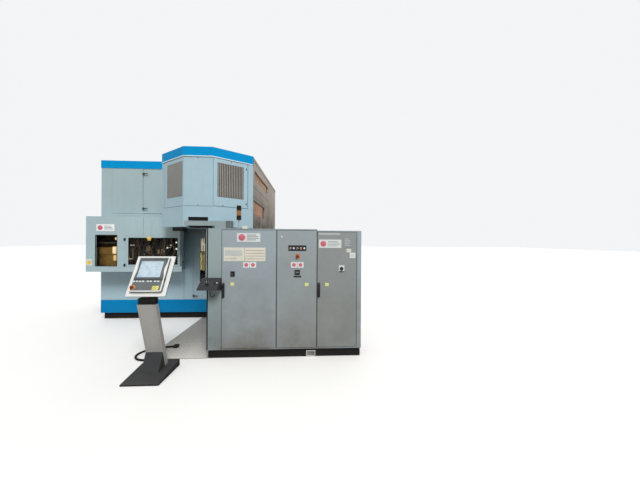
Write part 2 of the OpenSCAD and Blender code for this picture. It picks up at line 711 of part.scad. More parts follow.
module platen(y0) difference() {
    span([-blow_x - car_w / 2 + 6, y0, tie_z[0] - 60], [-blow_x + car_w / 2 - 6, y0 + platen_t, tie_z[1] + 60]);
    for (s = [-1, 1]) for (z = tie_z) rod_y(-blow_x + s * tie_x, y0 - 1, y0 + platen_t + 1, z, tie_r + fit);
    // T-slots for clamping the mould
    for (z = [mould_z + 90 : 160 : mould_z + mould_h - 60])
        span([-blow_x - car_w / 2, y0 + platen_t / 2 - 10, z], [-blow_x + car_w / 2, y0 + platen_t / 2 + 10, z + 18]);
}

module platen_front() color([0.50, 0.53, 0.55]) place() platen(part_y - open_d - mould_t - platen_t);

module platen_rear() color([0.50, 0.53, 0.55]) place() {
    platen(part_y + open_d + mould_t);
    rod_y(-blow_x, part_y + open_d + mould_t + platen_t - 1, yoke_rear + 150, clamp_z, ram_r);
}

// Mould halves with their bottle cavities, cooling bores and guide pins
module mould_half(dir) {
    y_face = part_y + dir * (open_d + slide_gap / 2);
    y_back = part_y + dir * (open_d + mould_t);
    difference() {
        span([-blow_x - mould_w / 2, min(y_face, y_back), mould_z], [-blow_x + mould_w / 2, max(y_face, y_back), mould_z + mould_h]);
        for (i = [0 : cav_n - 1]) translate([-blow_x + (i - (cav_n - 1) / 2) * cav_pitch, y_face, mould_z])
            cavity();
        for (z = [mould_z + 60, mould_z + mould_h - 50])
            translate([-blow_x - mould_w / 2 - 1, y_back - dir * 32, z]) rotate([0, 90, 0])
                cylinder(r = 7, h = mould_w + 2);
    }
}

module cavity() rotate_extrude()
    polygon([
        [0, 60], [cav_r - 12, 60], [cav_r, 72], [cav_r, mould_h - 170], [cav_r - 8, mould_h - 140],
        [30, mould_h - 95], [21, mould_h - 80], [21, mould_h - 20], [25, mould_h - 12], [25, mould_h + 1], [0, mould_h + 1]
    ]);

module mould_front() color([0.72, 0.73, 0.74]) place() mould_half(-1);

module mould_rear() color([0.72, 0.73, 0.74]) place() mould_half(1);

module clamp_cylinder() color([0.20, 0.24, 0.27]) place() difference() {
    union() {
        rod_y(-blow_x, yoke_rear - 2 + 2, yoke_rear + yoke_t + 190, clamp_z, 79.7);
        rod_y(-blow_x, yoke_rear + yoke_t, yoke_rear + yoke_t + 26, clamp_z, 105);
        rod_y(-blow_x, yoke_rear + yoke_t + 165, yoke_rear + yoke_t + 200, clamp_z, 92);
    }
    rod_y(-blow_x, yoke_rear - 1, yoke_rear + yoke_t + 150, clamp_z, ram_r + fit);
}

// Bridge over the blow station with the guide bushes and the air cylinder
module blow_frame() color([0.36, 0.40, 0.43]) place() difference() {
    union() {
        span([-blow_x - bridge_w, body_y + wall, bridge_z], [-blow_x + bridge_w, rear_y - wall, bridge_z + 50]);
        for (s = [-1, 1]) rod_z(-blow_x + s * 170, part_y, bridge_z - 40, bridge_z + 90, 36);
        rod_z(-blow_x, part_y, bridge_z - 20, bridge_z + 420, 62);
        for (y = [body_y + wall, rear_y - wall - 80])
            span([-blow_x - bridge_w, y, bridge_z - 90], [-blow_x + bridge_w, y + 80, bridge_z]);
    }
    for (s = [-1, 1]) rod_z(-blow_x + s * 170, part_y, bridge_z - 41, bridge_z + 91, guide_r + fit);
    rod_z(-blow_x, part_y, bridge_z - 21, bridge_z + 400, 28 + fit);
}

module blow_carriage() color([0.74, 0.75, 0.76]) place() {
    span([-blow_x - blow_w, part_y - 60, pin_top], [-blow_x + blow_w, part_y + 60, pin_top + 40]);
    for (s = [-1, 1]) rod_z(-blow_x + s * 170, part_y, pin_top + 20, bridge_z + 90 + blow_stroke + 60, guide_r);
    rod_z(-blow_x, part_y, pin_top + 20, bridge_z + 250, 28);
    for (i = [0 : cav_n - 1]) {
        x = -blow_x + (i - (cav_n - 1) / 2) * cav_pitch;
        difference() {
            union() {
                rod_z(x, part_y, pin_tip, pin_top + 1, blow_r);
                rod_z(x, part_y, pin_tip + 110, pin_top, blow_r + 10);
            }
            rod_z(x, part_y, pin_tip - 1, pin_top - 40, 6);
        }
    }
}

module extruder_barrel() color([0.55, 0.56, 0.57]) place() difference() {
    union() {
        rod_y(-head_x, barrel_y0, barrel_y1, ext_z, barrel_r);
        rod_y(-head_x, barrel_y0, barrel_y0 + 50, ext_z, barrel_r + 28);
        span([-head_x - 120, hopper_y - 110, ext_z - 120], [-head_x + 120, barrel_y1, ext_z + 120]);
    }
    rod_y(-head_x, barrel_y0 - 1, barrel_y1 + 1, ext_z, screw_r + 0.5);
    rod_z(-head_x, hopper_y, ext_z, ext_z + 121, 40);
}

module band(y, w) difference() {
    rod_y(-head_x, y, y + w, ext_z, barrel_r + 24);
    rod_y(-head_x, y - 1, y + w + 1, ext_z, barrel_r + slide_gap);
}

module heater_bands() color([0.70, 0.69, 0.66]) place() {
    pitch = (hopper_y - 130 - (barrel_y0 + 70)) / band_n;
    for (i = [0 : band_n - 1]) {
        y = barrel_y0 + 70 + i * pitch;
        band(y, pitch - 40);
        span([-head_x + barrel_r + 20, y + 40, ext_z - 14], [-head_x + barrel_r + 62, y + 100, ext_z + 40]);
    }
}

// Core with one helical flight; a shank reaches into the gearbox
module extruder_screw() color([0.60, 0.61, 0.62]) place() {
    turns = (hopper_y + 60 - barrel_y0 - 60) / screw_pitch;
    translate([-head_x, barrel_y0 + 60, ext_z]) rotate([-90, 0, 0])
        linear_extrude(turns * screw_pitch, twist = -360 * turns, slices = round(turns * 10), $fn = 10)
            polygon([
                for (a = [30 : 60 : 330]) (screw_r - 13) * [cos(a), sin(a)],
                [screw_r - 14, -7], [screw_r - 1, -7], [screw_r - 0.5, 0], [screw_r - 1, 7], [screw_r - 14, 7]
            ]);
    rod_y(-head_x, barrel_y0 + 60, barrel_y1 + 120, ext_z, screw_r - 14);
}

module extruder_drive() color([0.16, 0.38, 0.62]) place() difference() {
    union() {
        span([-head_x - 190, barrel_y1, ext_z - 330], [-head_x + 190, gear_y1, ext_z + 150]);
        span([-head_x - 210, barrel_y1 + 40, ext_z - 345], [-head_x + 210, gear_y1 - 40, ext_z - 300]);
        rod_y(-head_x, gear_y1, gear_y1 + motor_l, ext_z - 150, motor_r);
        rod_y(-head_x, gear_y1 + motor_l, gear_y1 + motor_l + 70, ext_z - 150, motor_r - 12);
        span([-head_x - 90, gear_y1 + 60, ext_z - 20], [-head_x + 90, gear_y1 + 240, ext_z + 70]);
        // Cooling ribs of the motor
        for (a = [20 : 20 : 160]) translate([-head_x, gear_y1 + 20, ext_z - 150]) rotate([0, 90 - a, 0])
            translate([motor_r - 6, 0, -4]) cube([22, motor_l - 40, 8]);
        span([-head_x - 170, gear_y1 + 40, deck_z + 140], [-head_x + 170, gear_y1 + 300, ext_z - 150]);
    }
    rod_y(-head_x, barrel_y1 - 1, barrel_y1 + 180, ext_z, screw_r - 14 + fit);
}

module hopper() color([0.78, 0.79, 0.80]) place() translate([-head_x, hopper_y, 0]) difference() {
    union() {
        rod_z(0, 0, ext_z + 120, ext_z + 150, 90);
        rod_z(0, 0, ext_z + 120, hopper_neck, 46);
        translate([0, 0, hopper_neck]) cylinder(r1 = 46, r2 = 190, h = cone_top - hopper_neck);
        rod_z(0, 0, cone_top, hopper_top, 190);
    }
    rod_z(0, 0, ext_z + 119, hopper_neck + 1, 40);
    translate([0, 0, hopper_neck - 0.1]) cylinder(r1 = 40, r2 = 184, h = cone_top - hopper_neck + 0.2);
    rod_z(0, 0, cone_top, hopper_top - 6, 184);
}

// Two beams on the platform with saddles under barrel and head
module extruder_cradle() color([0.16, 0.38, 0.62]) place() {
    for (s = [-1, 1]) difference() {
        span([-head_x + s * 200 - 50, part_y + 220, deck_z + 20], [-head_x + s * 200 + 50, guard_end_y - 60, deck_z + 140]);
        for (y = [part_y + 320 : 300 : guard_end_y - 300])
            translate([-head_x - 300, y, deck_z + 80]) rotate([0, 90, 0]) cylinder(r = 34, h = 600);
    }
    for (y = [part_y + 230, hopper_y - 300]) difference() {
        span([-head_x - 150, y, deck_z + 140], [-head_x + 150, y + 30, ext_z - 20]);
        rod_y(-head_x, y - 1, y + 31, ext_z, barrel_r + 28 + slide_gap);
    }
    for (y = [part_y + 230, hopper_y - 300, barrel_y1 - 60])
        span([-head_x - 250, y, deck_z + 139], [-head_x + 250, y + 30, deck_z + 160]);
    span([-head_x - 190, barrel_y1 + 20, deck_z + 139], [-head_x + 190, gear_y1 - 20, ext_z - 345]);
}

// Head with adapter, wall thickness cylinder on top and one die under each lane
module extrusion_head() color([0.62, 0.60, 0.57]) place() {
    difference() {
        union() {
            span([-head_x - 270, part_y - 95, deck_z + 80], [-head_x + 270, part_y + 95, ext_z + 80]);
            rod_y(-head_x, part_y + 94, barrel_y0, ext_z, barrel_r + 28);
            rod_z(-head_x, part_y, ext_z + 80, ext_z + 420, 70);
            rod_z(-head_x, part_y, ext_z + 80, ext_z + 110, 110);
            for (i = [0 : cav_n - 1]) {
                x = -head_x + (i - (cav_n - 1) / 2) * cav_pitch;
                rod_z(x, part_y, die_z + 60, deck_z + 81, 62);
                translate([x, part_y, die_z]) cylinder(r1 = die_r, r2 = 56, h = 60.1);
            }
        }
        rod_y(-head_x, part_y, barrel_y0 + 1, ext_z, 30);
        for (i = [0 : cav_n - 1])
            rod_z(-head_x + (i - (cav_n - 1) / 2) * cav_pitch, part_y, die_z - 1, die_z + 30, die_r - 16);
    }
    // Hanger plates down to the platform
    for (s = [-1, 1]) span([-head_x + s * 300 - 30, part_y - 240, deck_z + 20], [-head_x + s * 300 + 30, part_y + 240, ext_z - 150]);
}

module cab_hollow(x0, x1, top) span([x0 + cab_wall, stop_y + 12, cab_plinth + cab_wall + 20], [x1 - cab_wall, cab_d - cab_wall, top - cab_wall - 20]);

module electrical_cabinet() color([0.55, 0.62, 0.67]) place() {
    difference() {
        union() {
            span([cab_x1, 0, cab_plinth], [cab_x3, cab_d, cab_top]);
            span([cab_x3, 0, cab_plinth], [cab_right, cab_d, cab_top - cab3_drop]);
        }
        cab_hollow(cab_x1, cab_x2, cab_top);
        cab_hollow(cab_x2, cab_x3, cab_top);
        cab_hollow(cab_x3, cab_x4, cab_top - cab3_drop);
        for (i = [0 : 2]) let (d = cab_door[i]) translate([d[0], 0, door_z]) {
            leaf_cut(d[1], d[2]);
            translate([stop_w, rebate - 1, stop_w]) cube([d[1] - 2 * stop_w, 14, d[2] - 2 * stop_w]);
        }
        // Joint of the closing panel
        span([cab_x4 + 8, -1, cab_plinth - 1], [cab_x4 + 11, 2, cab_top]);
    }
    for (i = [0 : 2]) let (d = cab_door[i]) for (z = [door_z - leaf_gap - 6, door_z + d[2] - 14])
        rod_z(d[0] + d[1] - pin_in, pin_in, z, z + 14 + leaf_gap + 6, pin_r);
}

// Mounting plates with wiring ducts and device rows
module switchgear() color([0.72, 0.73, 0.72]) place()
    for (c = [[cab_x1, cab_x2, cab_top], [cab_x2, cab_x3, cab_top], [cab_x3, cab_x4, cab_top - cab3_drop]]) {
        x0 = c[0] + 70;
        x1 = c[1] - 70;
        y = cab_d - cab_wall;
        span([x0, y - 22, cab_plinth + 130], [x1, y - 19, c[2] - 130]);
        for (x = [x0 + 20, x1 - 20]) for (z = [cab_plinth + 170, c[2] - 170]) rod_y(x, y - 20, y, z, 8);
        for (x = [x0 + 8, x1 - 48]) span([x, y - 82, cab_plinth + 150], [x + 40, y - 22, c[2] - 150]);
        for (k = [0 : 4]) {
            z = cab_plinth + 200 + k * 290;
            span([x0 + 48, y - 82, z], [x1 - 48, y - 22, z + 40]);
            for (j = [0 : round((x1 - x0 - 160) / 75) - 1]) if (k < 4)
                span([x0 + 70 + j * 75, y - 118 + 14 * (k % 2), z + 100], [x0 + 70 + j * 75 + 62, y - 21, z + 100 + 90 + 20 * ((j + k) % 2)]);
        }
    }

function knob_hole(p) = [p.x, p.y, knob_bore + fit];

module cabinet_door_1() color([0.55, 0.62, 0.67]) place() cabinet_leaf(0,
    [[422, 758, 1706, 1832], [232, 528, 1422, 1620], [538, 834, 1422, 1620], [513, 604, 1326, 1408],
        [611, 700, 1326, 1408], [329, 391, 1192, 1271], [cab_door[0][0] + 6, cab_door[0][0] + 42, 884, 1100]],
    [knob_hole(sel_pos), [cab_door[0][0] + handle_x, handle_z, handle_r + fit]]);

module cabinet_door_2() color([0.55, 0.62, 0.67]) place() cabinet_leaf(1,
    [[1172, 1437, 1577, 1656], [1276, 1342, 1456, 1536], [1212, 1300, 1326, 1408], [1308, 1397, 1326, 1408],
        [1263, 1351, 1212, 1294], [1269, 1345, 1190, 1206]],
    [knob_hole(stop_pos)]);

module cabinet_door_3() color([0.55, 0.62, 0.67]) place() cabinet_leaf(2,
    [[1627, 1961, 1622, 1745], [1997, 2113, 1629, 1791], [2039, 2109, 1555, 1608], [2090, 2174, 1471, 1549],
        [1928, 2009, 1262, 1360], [cab_door[2][0] + 6, cab_door[2][0] + 42, 884, 1100]],
    [knob_hole(main_pos), [cab_door[2][0] + handle_x, handle_z, handle_r + fit]]);

module swing_handle(i) translate([cab_door[i][0] + handle_x, -pad_t, handle_z]) {
    rotate([-90, 0, 0]) cylinder(r = handle_r, h = 16);
    translate([0, -slide_gap, 0]) rotate([90, 0, 0]) cylinder(r = 14, h = 20);
    translate([0, -slide_gap - 1, 0]) rotate([90, 0, 0]) linear_extrude(26)
        polygon([[-13, 10], [-9, 14], [9, 14], [13, 10], [13, 14 - handle_len], [9, 10 - handle_len], [-9, 10 - handle_len], [-13, 14 - handle_len]]);
    rotate([90, 0, 0]) cylinder(r = handle_r, h = 4);
}

module swing_handle_1() color([0.08, 0.08, 0.09]) place() swing_handle(0);

module swing_handle_3() color([0.08, 0.08, 0.09]) place() swing_handle(2);

module knob(p, r, out) translate([p.x, -pad_t, p.y]) {
    rotate([-90, 0, 0]) cylinder(r = knob_bore, h = 14);
    translate([0, -slide_gap, 0]) rotate([90, 0, 0]) cylinder(r = r, h = 10);
    rotate([90, 0, 0]) cylinder(r = knob_bore, h = 2);
    translate([0, -slide_gap - 9, 0]) rotate([90, 0, 0]) linear_extrude(out)
        polygon([[-5, -r], [5, -r], [6, 0], [5, r], [-5, r], [-6, 0]]);
}

module selector_knob() color([0.07, 0.07, 0.08]) place() knob(sel_pos, knob_r, 14);

module main_switch() color([0.07, 0.07, 0.08]) place() knob(main_pos, knob_r + 8, 20);

// Mushroom head on a push rod
module mushroom(r, travel) {
    rotate([-90, 0, 0]) cylinder(r = knob_bore, h = 14);
    rotate([90, 0, 0]) cylinder(r = knob_bore, h = travel + 4);
    translate([0, -travel - 3, 0]) rotate([90, 0, 0]) rotate_extrude()
        polygon([[0, 0], [r * 0.6, 0], [r * 0.7, 4], [r, 9], [r, 15], [r * 0.86, 21], [r * 0.5, 25], [0, 26]]);
}

module cabinet_stop_button() color([0.75, 0.08, 0.06]) place()
    translate([stop_pos.x, -pad_t, stop_pos.y]) mushroom(22, 6);

// Trunk in front of the head housing and the link behind the riser
trunk_x0 = -655;
trunk_x1 = 43;
trunk_y = bay_front_y - 160;
trunk_z0 = deck_z + 9;
trunk_z1 = deck_z + 92;
link_z0 = cab_top - 200;
link_z1 = cab_top - 20;

// Riser column beside the cabinets and the cable trunk to the head housing
module cable_riser() color([0.60, 0.65, 0.68]) place() {
    difference() {
        union() {
            span([0, 0, cab_plinth], [riser_w, cab_d, cab_top]);
            span([10, cab_d - 1, link_z0], [riser_w - 20, trunk_y + 1, link_z1]);
            span([trunk_x1 - 184, trunk_y, link_z0], [riser_w - 20, bay_front_y, link_z1]);
            span([trunk_x1 - 184, trunk_y, link_z0], [trunk_x1, bay_front_y, trunk_z1]);
            span([trunk_x0, trunk_y, trunk_z0], [trunk_x1, bay_front_y, trunk_z1]);
        }
        // Joint of the column's front panel
        span([6, -1, cab_plinth + 20], [8, 2, cab_top - 20]);
        // Joints between the lengths of trunk
        for (x = [-520, -260]) span([x, trunk_y - 2, trunk_z0 - 1], [x + 3, bay_front_y + 1, trunk_z0 + 2]);
    }
    span([riser_w + 250, 160, cab_top], [riser_w + 328, 240, cab_top + 48]);
}

// Dark boxes: a ribbed vent box on the cabinets and a cable box under the head housing
module roof_boxes() color([0.16, 0.17, 0.18]) place() {
    difference() {
        span([riser_w + 6, 160, cab_top], [riser_w + 88, 260, cab_top + 122]);
        for (i = [0 : 5]) span([riser_w + 5, 159, cab_top + 14 + i * 18], [riser_w + 89, 168, cab_top + 22 + i * 18]);
    }
    span([-1090, 1090, deck_z - 72], [-900, 1240, deck_z]);
}

module stack_light() color([0.09, 0.09, 0.10]) place() translate([391, 200, cab_top]) {
    cylinder(r = stack_d / 2, h = 8);
    cylinder(r = 10, h = 145);
    translate([0, 0, 143]) cylinder(r = stack_d / 2, h = 53);
    translate([0, 0, 304]) rotate_extrude()
        polygon([[0, 0], [stack_d / 2, 0], [stack_d / 2, 52], [stack_d / 2 - 6, 60], [0, 64]]);
}

module stack_light_lens() color([0.95, 0.55, 0.10, 0.8]) place()
    translate([391, 200, cab_top + 196]) cylinder(r = stack_d / 2 - 1, h = 108);

desk_slope = atan2(desk_drop, desk_d);
desk_x0 = riser_w - desk_w;

// Local frame on the console's sloping top: x across, y up the slope, z out of the top
module on_desk(x, s) translate([desk_x0 + x, -desk_d * (1 - s), desk_z - desk_drop * (1 - s)])
    rotate([desk_slope, 0, 0]) children();

stick_x = 120;
stick_s = 0.42;
key_x = 249;

module console() color([0.24, 0.26, 0.28]) place() difference() {
    union() {
        translate([desk_x0, 0, 0]) rotate([90, 0, 90]) linear_extrude(desk_w)
            polygon([[0, desk_z], [-desk_d, desk_z - desk_drop], [-desk_d, desk_z - desk_drop - 10],
                [0, desk_z - desk_drop - 45]]);
        on_desk(stick_x, stick_s) translate([0, 0, -2]) cylinder(r = 34, h = 7);
        on_desk(key_x, 0.5) translate([0, 0, -2]) cylinder(r = 20, h = 6);
    }
    on_desk(stick_x, stick_s) translate([0, 0, -40]) cylinder(r = 16, h = 60);
    on_desk(key_x, 0.5) translate([0, 0, -24]) cylinder(r = 8 + fit, h = 44);
}

// Lever whose pivot pin lies in the desk's collar
module joystick() color([0.07, 0.07, 0.08]) place() on_desk(stick_x, stick_s) {
    translate([0, 0, -18]) cylinder(r = 5, h = 64);
    translate([0, 0, 48]) sphere(r = 23);
    translate([-15.2, 0, -18]) rotate([0, 90, 0]) cylinder(r = 4, h = 30.4);
}

module console_button() color([0.70, 0.71, 0.72]) place() on_desk(key_x, 0.5) {
    translate([0, 0, -16]) cylinder(r = 8, h = 27);
    translate([0, 0, 8.5]) cylinder(r = 13, h = 5);
}

module chequer_plate() color([0.66, 0.68, 0.69]) place() {
    difference() {
        span([-chequer_w, 0, 0], [0, body_y + plinth_in, chequer_t]);
        span([-chequer_w + 28, -1, chequer_t - 1], [-chequer_w + 31, body_y + plinth_in + 1, chequer_t + 1]);
        for (y = [620, 1240]) span([-chequer_w - 1, y, chequer_t - 2], [1, y + 3, chequer_t + 1]);
    }
    // Edge angle along the walkway's open side
    span([-chequer_w - 4, 0, 0], [-chequer_w, body_y + plinth_in, chequer_t]);
}

// Smooth tube through the route: sections stand square to the chord of their neighbours
function pt(i) = conduit_points[max(0, min(len(conduit_points) - 1, i))];
function catmull(a, b, c, d, t) = 0.5 * (2 * b + (c - a) * t + (2 * a - 5 * b + 4 * c - d) * t * t
    + (3 * b - a - 3 * c + d) * t * t * t);
steps = 3;
path = [for (i = [0 : len(conduit_points) - 2]) for (s = [0 : steps - 1])
    catmull(pt(i - 1), pt(i), pt(i + 1), pt(i + 2), s / steps), pt(len(conduit_points) - 1)];
function along(i) = let (d = i == 0 ? [0, 1, 0] : i == len(path) - 1 ? [1, 0, 0] : path[i + 1] - path[i - 1]) d / norm(d);
function across(i) = let (c = cross(along(i), [0, 0, 1])) c / norm(c);
sides = 10;

module floor_conduit() color([0.08, 0.08, 0.08]) place() {
    rings = [for (i = [0 : len(path) - 1]) let (a = across(i), b = cross(a, along(i)))
        for (k = [0 : sides - 1]) path[i] + conduit_r * (cos(360 * k / sides) * a + sin(360 * k / sides) * b)];
    n = len(path);
    walls = [for (i = [0 : n - 2]) for (k = [0 : sides - 1]) let (j = (k + 1) % sides)
        [i * sides + k, i * sides + j, (i + 1) * sides + j, (i + 1) * sides + k]];
    ends = [[for (k = [sides - 1 : -1 : 0]) k], [for (k = [0 : sides - 1]) (n - 1) * sides + k]];
    polyhedron(rings, concat(walls, ends));
}

// Gland at the pedestal's rear and the inlet on the chequer plate
module conduit_gland() color([0.12, 0.12, 0.13]) place() {
    p = conduit_points[0];
    rod_y(p.x, foot_y0 + foot_d, p.y, p.z, conduit_r + 9);
    e = conduit_points[len(conduit_points) - 1];
    span([e.x, e.y - 30, chequer_t], [e.x + 70, e.y + 30, chequer_t + 42]);
}

// Sloping top of the base plate and the leaning faces of the column, at a height
function foot_top(y) = foot_t0 + (foot_t1 - foot_t0) * (y - foot_y0) / foot_d;
function col_face(z, back) = col_top_y + (back ? 0.5 : -0.5) * col_t + (col_top - z) * lean;

module base_wedge() translate([foot_x0, foot_y0, 0]) rotate([90, 0, 90]) linear_extrude(foot_w)
    polygon([[0, 0], [foot_d, 0], [foot_d, foot_t1], [0, foot_t0]]);

// Wedge-shaped base plate with the cover in front of the column's foot
module pedestal_base() color([0.20, 0.21, 0.22]) place() {
    base_wedge();
    cover_y = foot_y0 + 186;
    translate([-hmi_x - col_w / 2, 0, 0]) rotate([90, 0, 90]) linear_extrude(col_w - 6)
        polygon([
            [cover_y, foot_top(cover_y) - 6], [cover_y + 6, foot_top(cover_y) + 8], [col_face(270, false), 270],
            [col_face(80, false), 80], [col_face(80, false), 30]
        ]);
}

// Leaning column with a lid strip on its front face; its foot stands on the sloping base plate
module pedestal_column() color([0.80, 0.80, 0.77]) place() difference() {
    translate([-hmi_x - col_w / 2, 0, 0]) rotate([90, 0, 90]) linear_extrude(col_w)
        polygon([
            [col_face(col_top, false), col_top], [col_face(col_top, true), col_top],
            [col_face(30, true), 30], [col_face(30, false), 30]
        ]);
    base_wedge();
    // Grooves of the lid strip
    for (s = [-1, 1]) translate([-hmi_x + s * (col_w / 2 - 22) - 1.5, 0, 0]) rotate([90, 0, 90]) linear_extrude(3)
        polygon([
            [col_face(col_top, false) - 2, col_top + 1], [col_face(col_top, false) + 3, col_top + 1],
            [col_face(280, false) + 3, 280], [col_face(280, false) - 2, 280]
        ]);
}

// Ribbed boot between column and panel, with the turntable on it
module pedestal_neck() color([0.08, 0.08, 0.09]) place() {
    rib = (neck_top - 8 - col_top) / 4;
    for (i = [0 : 3])
        span([-hmi_x - col_w / 2 + 6, col_top_y - col_t / 2 + 4, col_top + i * rib],
            [-hmi_x + col_w / 2 - 6, col_top_y + col_t / 2 + 14, col_top + (i + 0.6) * rib]);
    span([-hmi_x - col_w / 2 + 14, col_top_y - col_t / 2 + 10, col_top], [-hmi_x + col_w / 2 - 14, col_top_y + col_t / 2 + 8, neck_top - 8]);
    rod_z(-hmi_x, neck_y, neck_top - 9, neck_top, swivel_r);
}

// Local frame of the panel: x across, y into the panel, z up its slope
module on_panel() translate([-hmi_x, -hmi_front, hmi_z]) rotate([-hmi_tilt, 0, 0]) children();

module operator_panel() color([0.80, 0.80, 0.77]) place() {
    on_panel() difference() {
        union() {
            rotate([90, 0, 90]) translate([0, 0, -hmi_w / 2]) linear_extrude(hmi_w)
                polygon([[0, 5], [5, 0], [hmi_plate_t, 0], [hmi_plate_t, hmi_h], [5, hmi_h], [0, hmi_h - 5]]);
            // Narrower housing behind the front plate
            rotate([90, 0, 90]) translate([0, 0, -hmi_w / 2 + back_in]) linear_extrude(hmi_w - 2 * back_in)
                polygon([[hmi_plate_t - 1, 30], [hmi_d - 40, 30], [hmi_d, 70], [hmi_d, hmi_h - 90],
                    [hmi_d - 50, hmi_h - 40], [hmi_plate_t - 1, hmi_h - 40]]);
            // Raised operating field
            translate([-field_x, -hmi_raise, field_z0]) cube([2 * field_x, hmi_raise + 1, field_z1 - field_z0]);
            // Keys under the screen
            for (x = [-175, -139, -103, -67, -11, 25, 77, 113])
                translate([x, -hmi_raise - 3, 176]) cube([24, 4, 14]);
        }
        // Recessed screen
        span([screen_x[0], -hmi_raise - 1, screen_z[0]], [screen_x[1], -hmi_raise + 4, screen_z[1]]);
        translate([hmi_stop[0], -hmi_raise, hmi_stop[1]]) rotate([90, 0, 0]) translate([0, 0, -26])
            cylinder(r = knob_bore + fit, h = 40);
    }
    // Swivel foot that stands on the boot
    difference() {
        translate([-hmi_x, neck_y, neck_top + slide_gap]) cylinder(r = swivel_r, h = 70);
        on_panel() translate([-hmi_w / 2, -50, -50]) cube([hmi_w, 54, 300]);
    }
}

module panel_stop_button() color([0.85, 0.30, 0.06]) place() on_panel()
    translate([hmi_stop[0], -hmi_raise, hmi_stop[1]]) mushroom(18, 6);

plinths();
machine_base();
lower_housing();
upper_cabinet();
roof_fascia();
head_housing();
bay_door();
extruder_guard();
fixed_windows();
guard_box();
upper_door();
latch_upper();
latch_lower();
latch_service();
guard_door();
guard_door_window();
service_door();
service_door_window();
machine_bed();
guide_rails();
clamp_carriage();
platen_front();
mould_front();
platen_rear();
mould_rear();
clamp_cylinder();
blow_frame();
blow_carriage();
extruder_barrel();
heater_bands();
extruder_screw();
extruder_drive();
hopper();
extruder_cradle();
extrusion_head();
electrical_cabinet();
switchgear();
cabinet_door_1();
cabinet_door_2();
cabinet_door_3();
swing_handle_1();
swing_handle_3();
selector_knob();
main_switch();
cabinet_stop_button();
cable_riser();
roof_boxes();
stack_light();
stack_light_lens();
console();
joystick();
console_button();
chequer_plate();
floor_conduit();
conduit_gland();
pedestal_base();
pedestal_column();
pedestal_neck();
operator_panel();
panel_stop_button();
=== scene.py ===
import math

import bmesh
import bpy
import numpy as np
from mathutils import Matrix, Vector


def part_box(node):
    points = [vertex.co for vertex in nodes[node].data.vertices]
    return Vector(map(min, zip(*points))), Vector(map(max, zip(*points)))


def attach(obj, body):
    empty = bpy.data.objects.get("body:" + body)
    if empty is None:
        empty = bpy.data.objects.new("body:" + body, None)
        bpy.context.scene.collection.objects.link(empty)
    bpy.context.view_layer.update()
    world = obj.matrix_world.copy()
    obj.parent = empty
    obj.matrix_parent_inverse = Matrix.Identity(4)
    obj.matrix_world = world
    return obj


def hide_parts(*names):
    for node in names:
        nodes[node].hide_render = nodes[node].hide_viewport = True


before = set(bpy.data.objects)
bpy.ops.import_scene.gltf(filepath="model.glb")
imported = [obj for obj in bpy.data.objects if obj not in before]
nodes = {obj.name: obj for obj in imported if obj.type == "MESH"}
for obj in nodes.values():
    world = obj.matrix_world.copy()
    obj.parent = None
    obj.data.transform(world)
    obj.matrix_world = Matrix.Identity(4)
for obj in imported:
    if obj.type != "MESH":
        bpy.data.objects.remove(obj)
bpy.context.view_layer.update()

# Plant frame in millimetres: X = 0 and Y = 0 are the left front corner of the cabinet row, which is
# the right front corner of the chequer plate. Everything below is placed in it.
plate_low, plate_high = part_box("chequer_plate")
PLANT = np.array([plate_high.x, plate_low.y, 0.0])


def row(points):
    """Plant millimetres to the frame's metres: divided by a thousand and moved to the plant's corner."""
    return np.asarray(points, float) / 1000.0 + PLANT


def plant(node, corner):
    """Corner 0 or 1 of a node's box in plant millimetres."""
    return (np.array(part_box(node)[corner]) - PLANT) * 1000.0


# Camera: eye height, a very wide lens, turned to the right and rolled a little
EYE = (1453, -3580, 1739)
LENS_MM = 13.5
TURN = 3.0
ROLL = 0.35


def add_camera():
    """Looks along +Y, turned by TURN about Z and rolled by ROLL about its own axis."""
    data = bpy.data.cameras.new("camera")
    data.sensor_width = 36
    data.lens = LENS_MM
    data.clip_end = 200
    camera = bpy.data.objects.new("camera", data)
    bpy.context.scene.collection.objects.link(camera)
    turn = Matrix.Rotation(math.radians(-TURN), 4, "Z")
    level = Matrix.Rotation(math.pi / 2, 4, "X")
    roll = Matrix.Rotation(math.radians(ROLL), 4, "Z")
    camera.matrix_world = Matrix.Translation(row(EYE)) @ turn @ level @ roll
    bpy.context.scene.camera = camera


add_camera()


# Mesh helpers. A part is a pair: its points, and its faces as lists of point numbers.


def bridge(rings, loop=False):
    """Quads between neighbouring rings: points are rings[i, j], i along the part and j round it. Round a
    ring the last point joins the first. A loop joins its last ring to its first, any other part is capped."""
    rings = np.asarray(rings, float)
    count, n = rings.shape[:2]
    i = np.arange(count if loop else count - 1)[:, None]
    j = np.arange(n)[None, :]
    i2 = (i + 1) % count
    j2 = (j + 1) % n
    faces = np.stack([i * n + j, i * n + j2, i2 * n + j2, i2 * n + j], -1).reshape(-1, 4).tolist()
    if not loop:
        faces.append(list(range(n - 1, -1, -1)))
        faces.append(list(range((count - 1) * n, count * n)))
    return rings.reshape(-1, 3), faces


def join(parts):
    """One part out of several: their points in a row, their faces moved on by the points before."""
    points = []
    faces = []
    start = 0
    for p, f in parts:
        points.append(p)
        faces.extend([[k + start for k in face] for face in f])
        start += len(p)
    return np.concatenate(points), faces


def outline(w, h, r, steps=4):
    """Rounded rectangle of width w and height h: four arcs of radius r, as (x, z) counter-clockwise."""
    a = np.linspace(0, math.pi / 2, steps + 1)
    r = max(min(r, w / 2 - 0.01, h / 2 - 0.01), 0.01)
    ring = []
    for k, (sx, sz) in enumerate(((1, 1), (-1, 1), (-1, -1), (1, -1))):
        b = a + k * math.pi / 2
        ring.append(np.stack([sx * (w / 2 - r) + r * np.cos(b), sz * (h / 2 - r) + r * np.sin(b)], -1))
    return np.concatenate(ring)


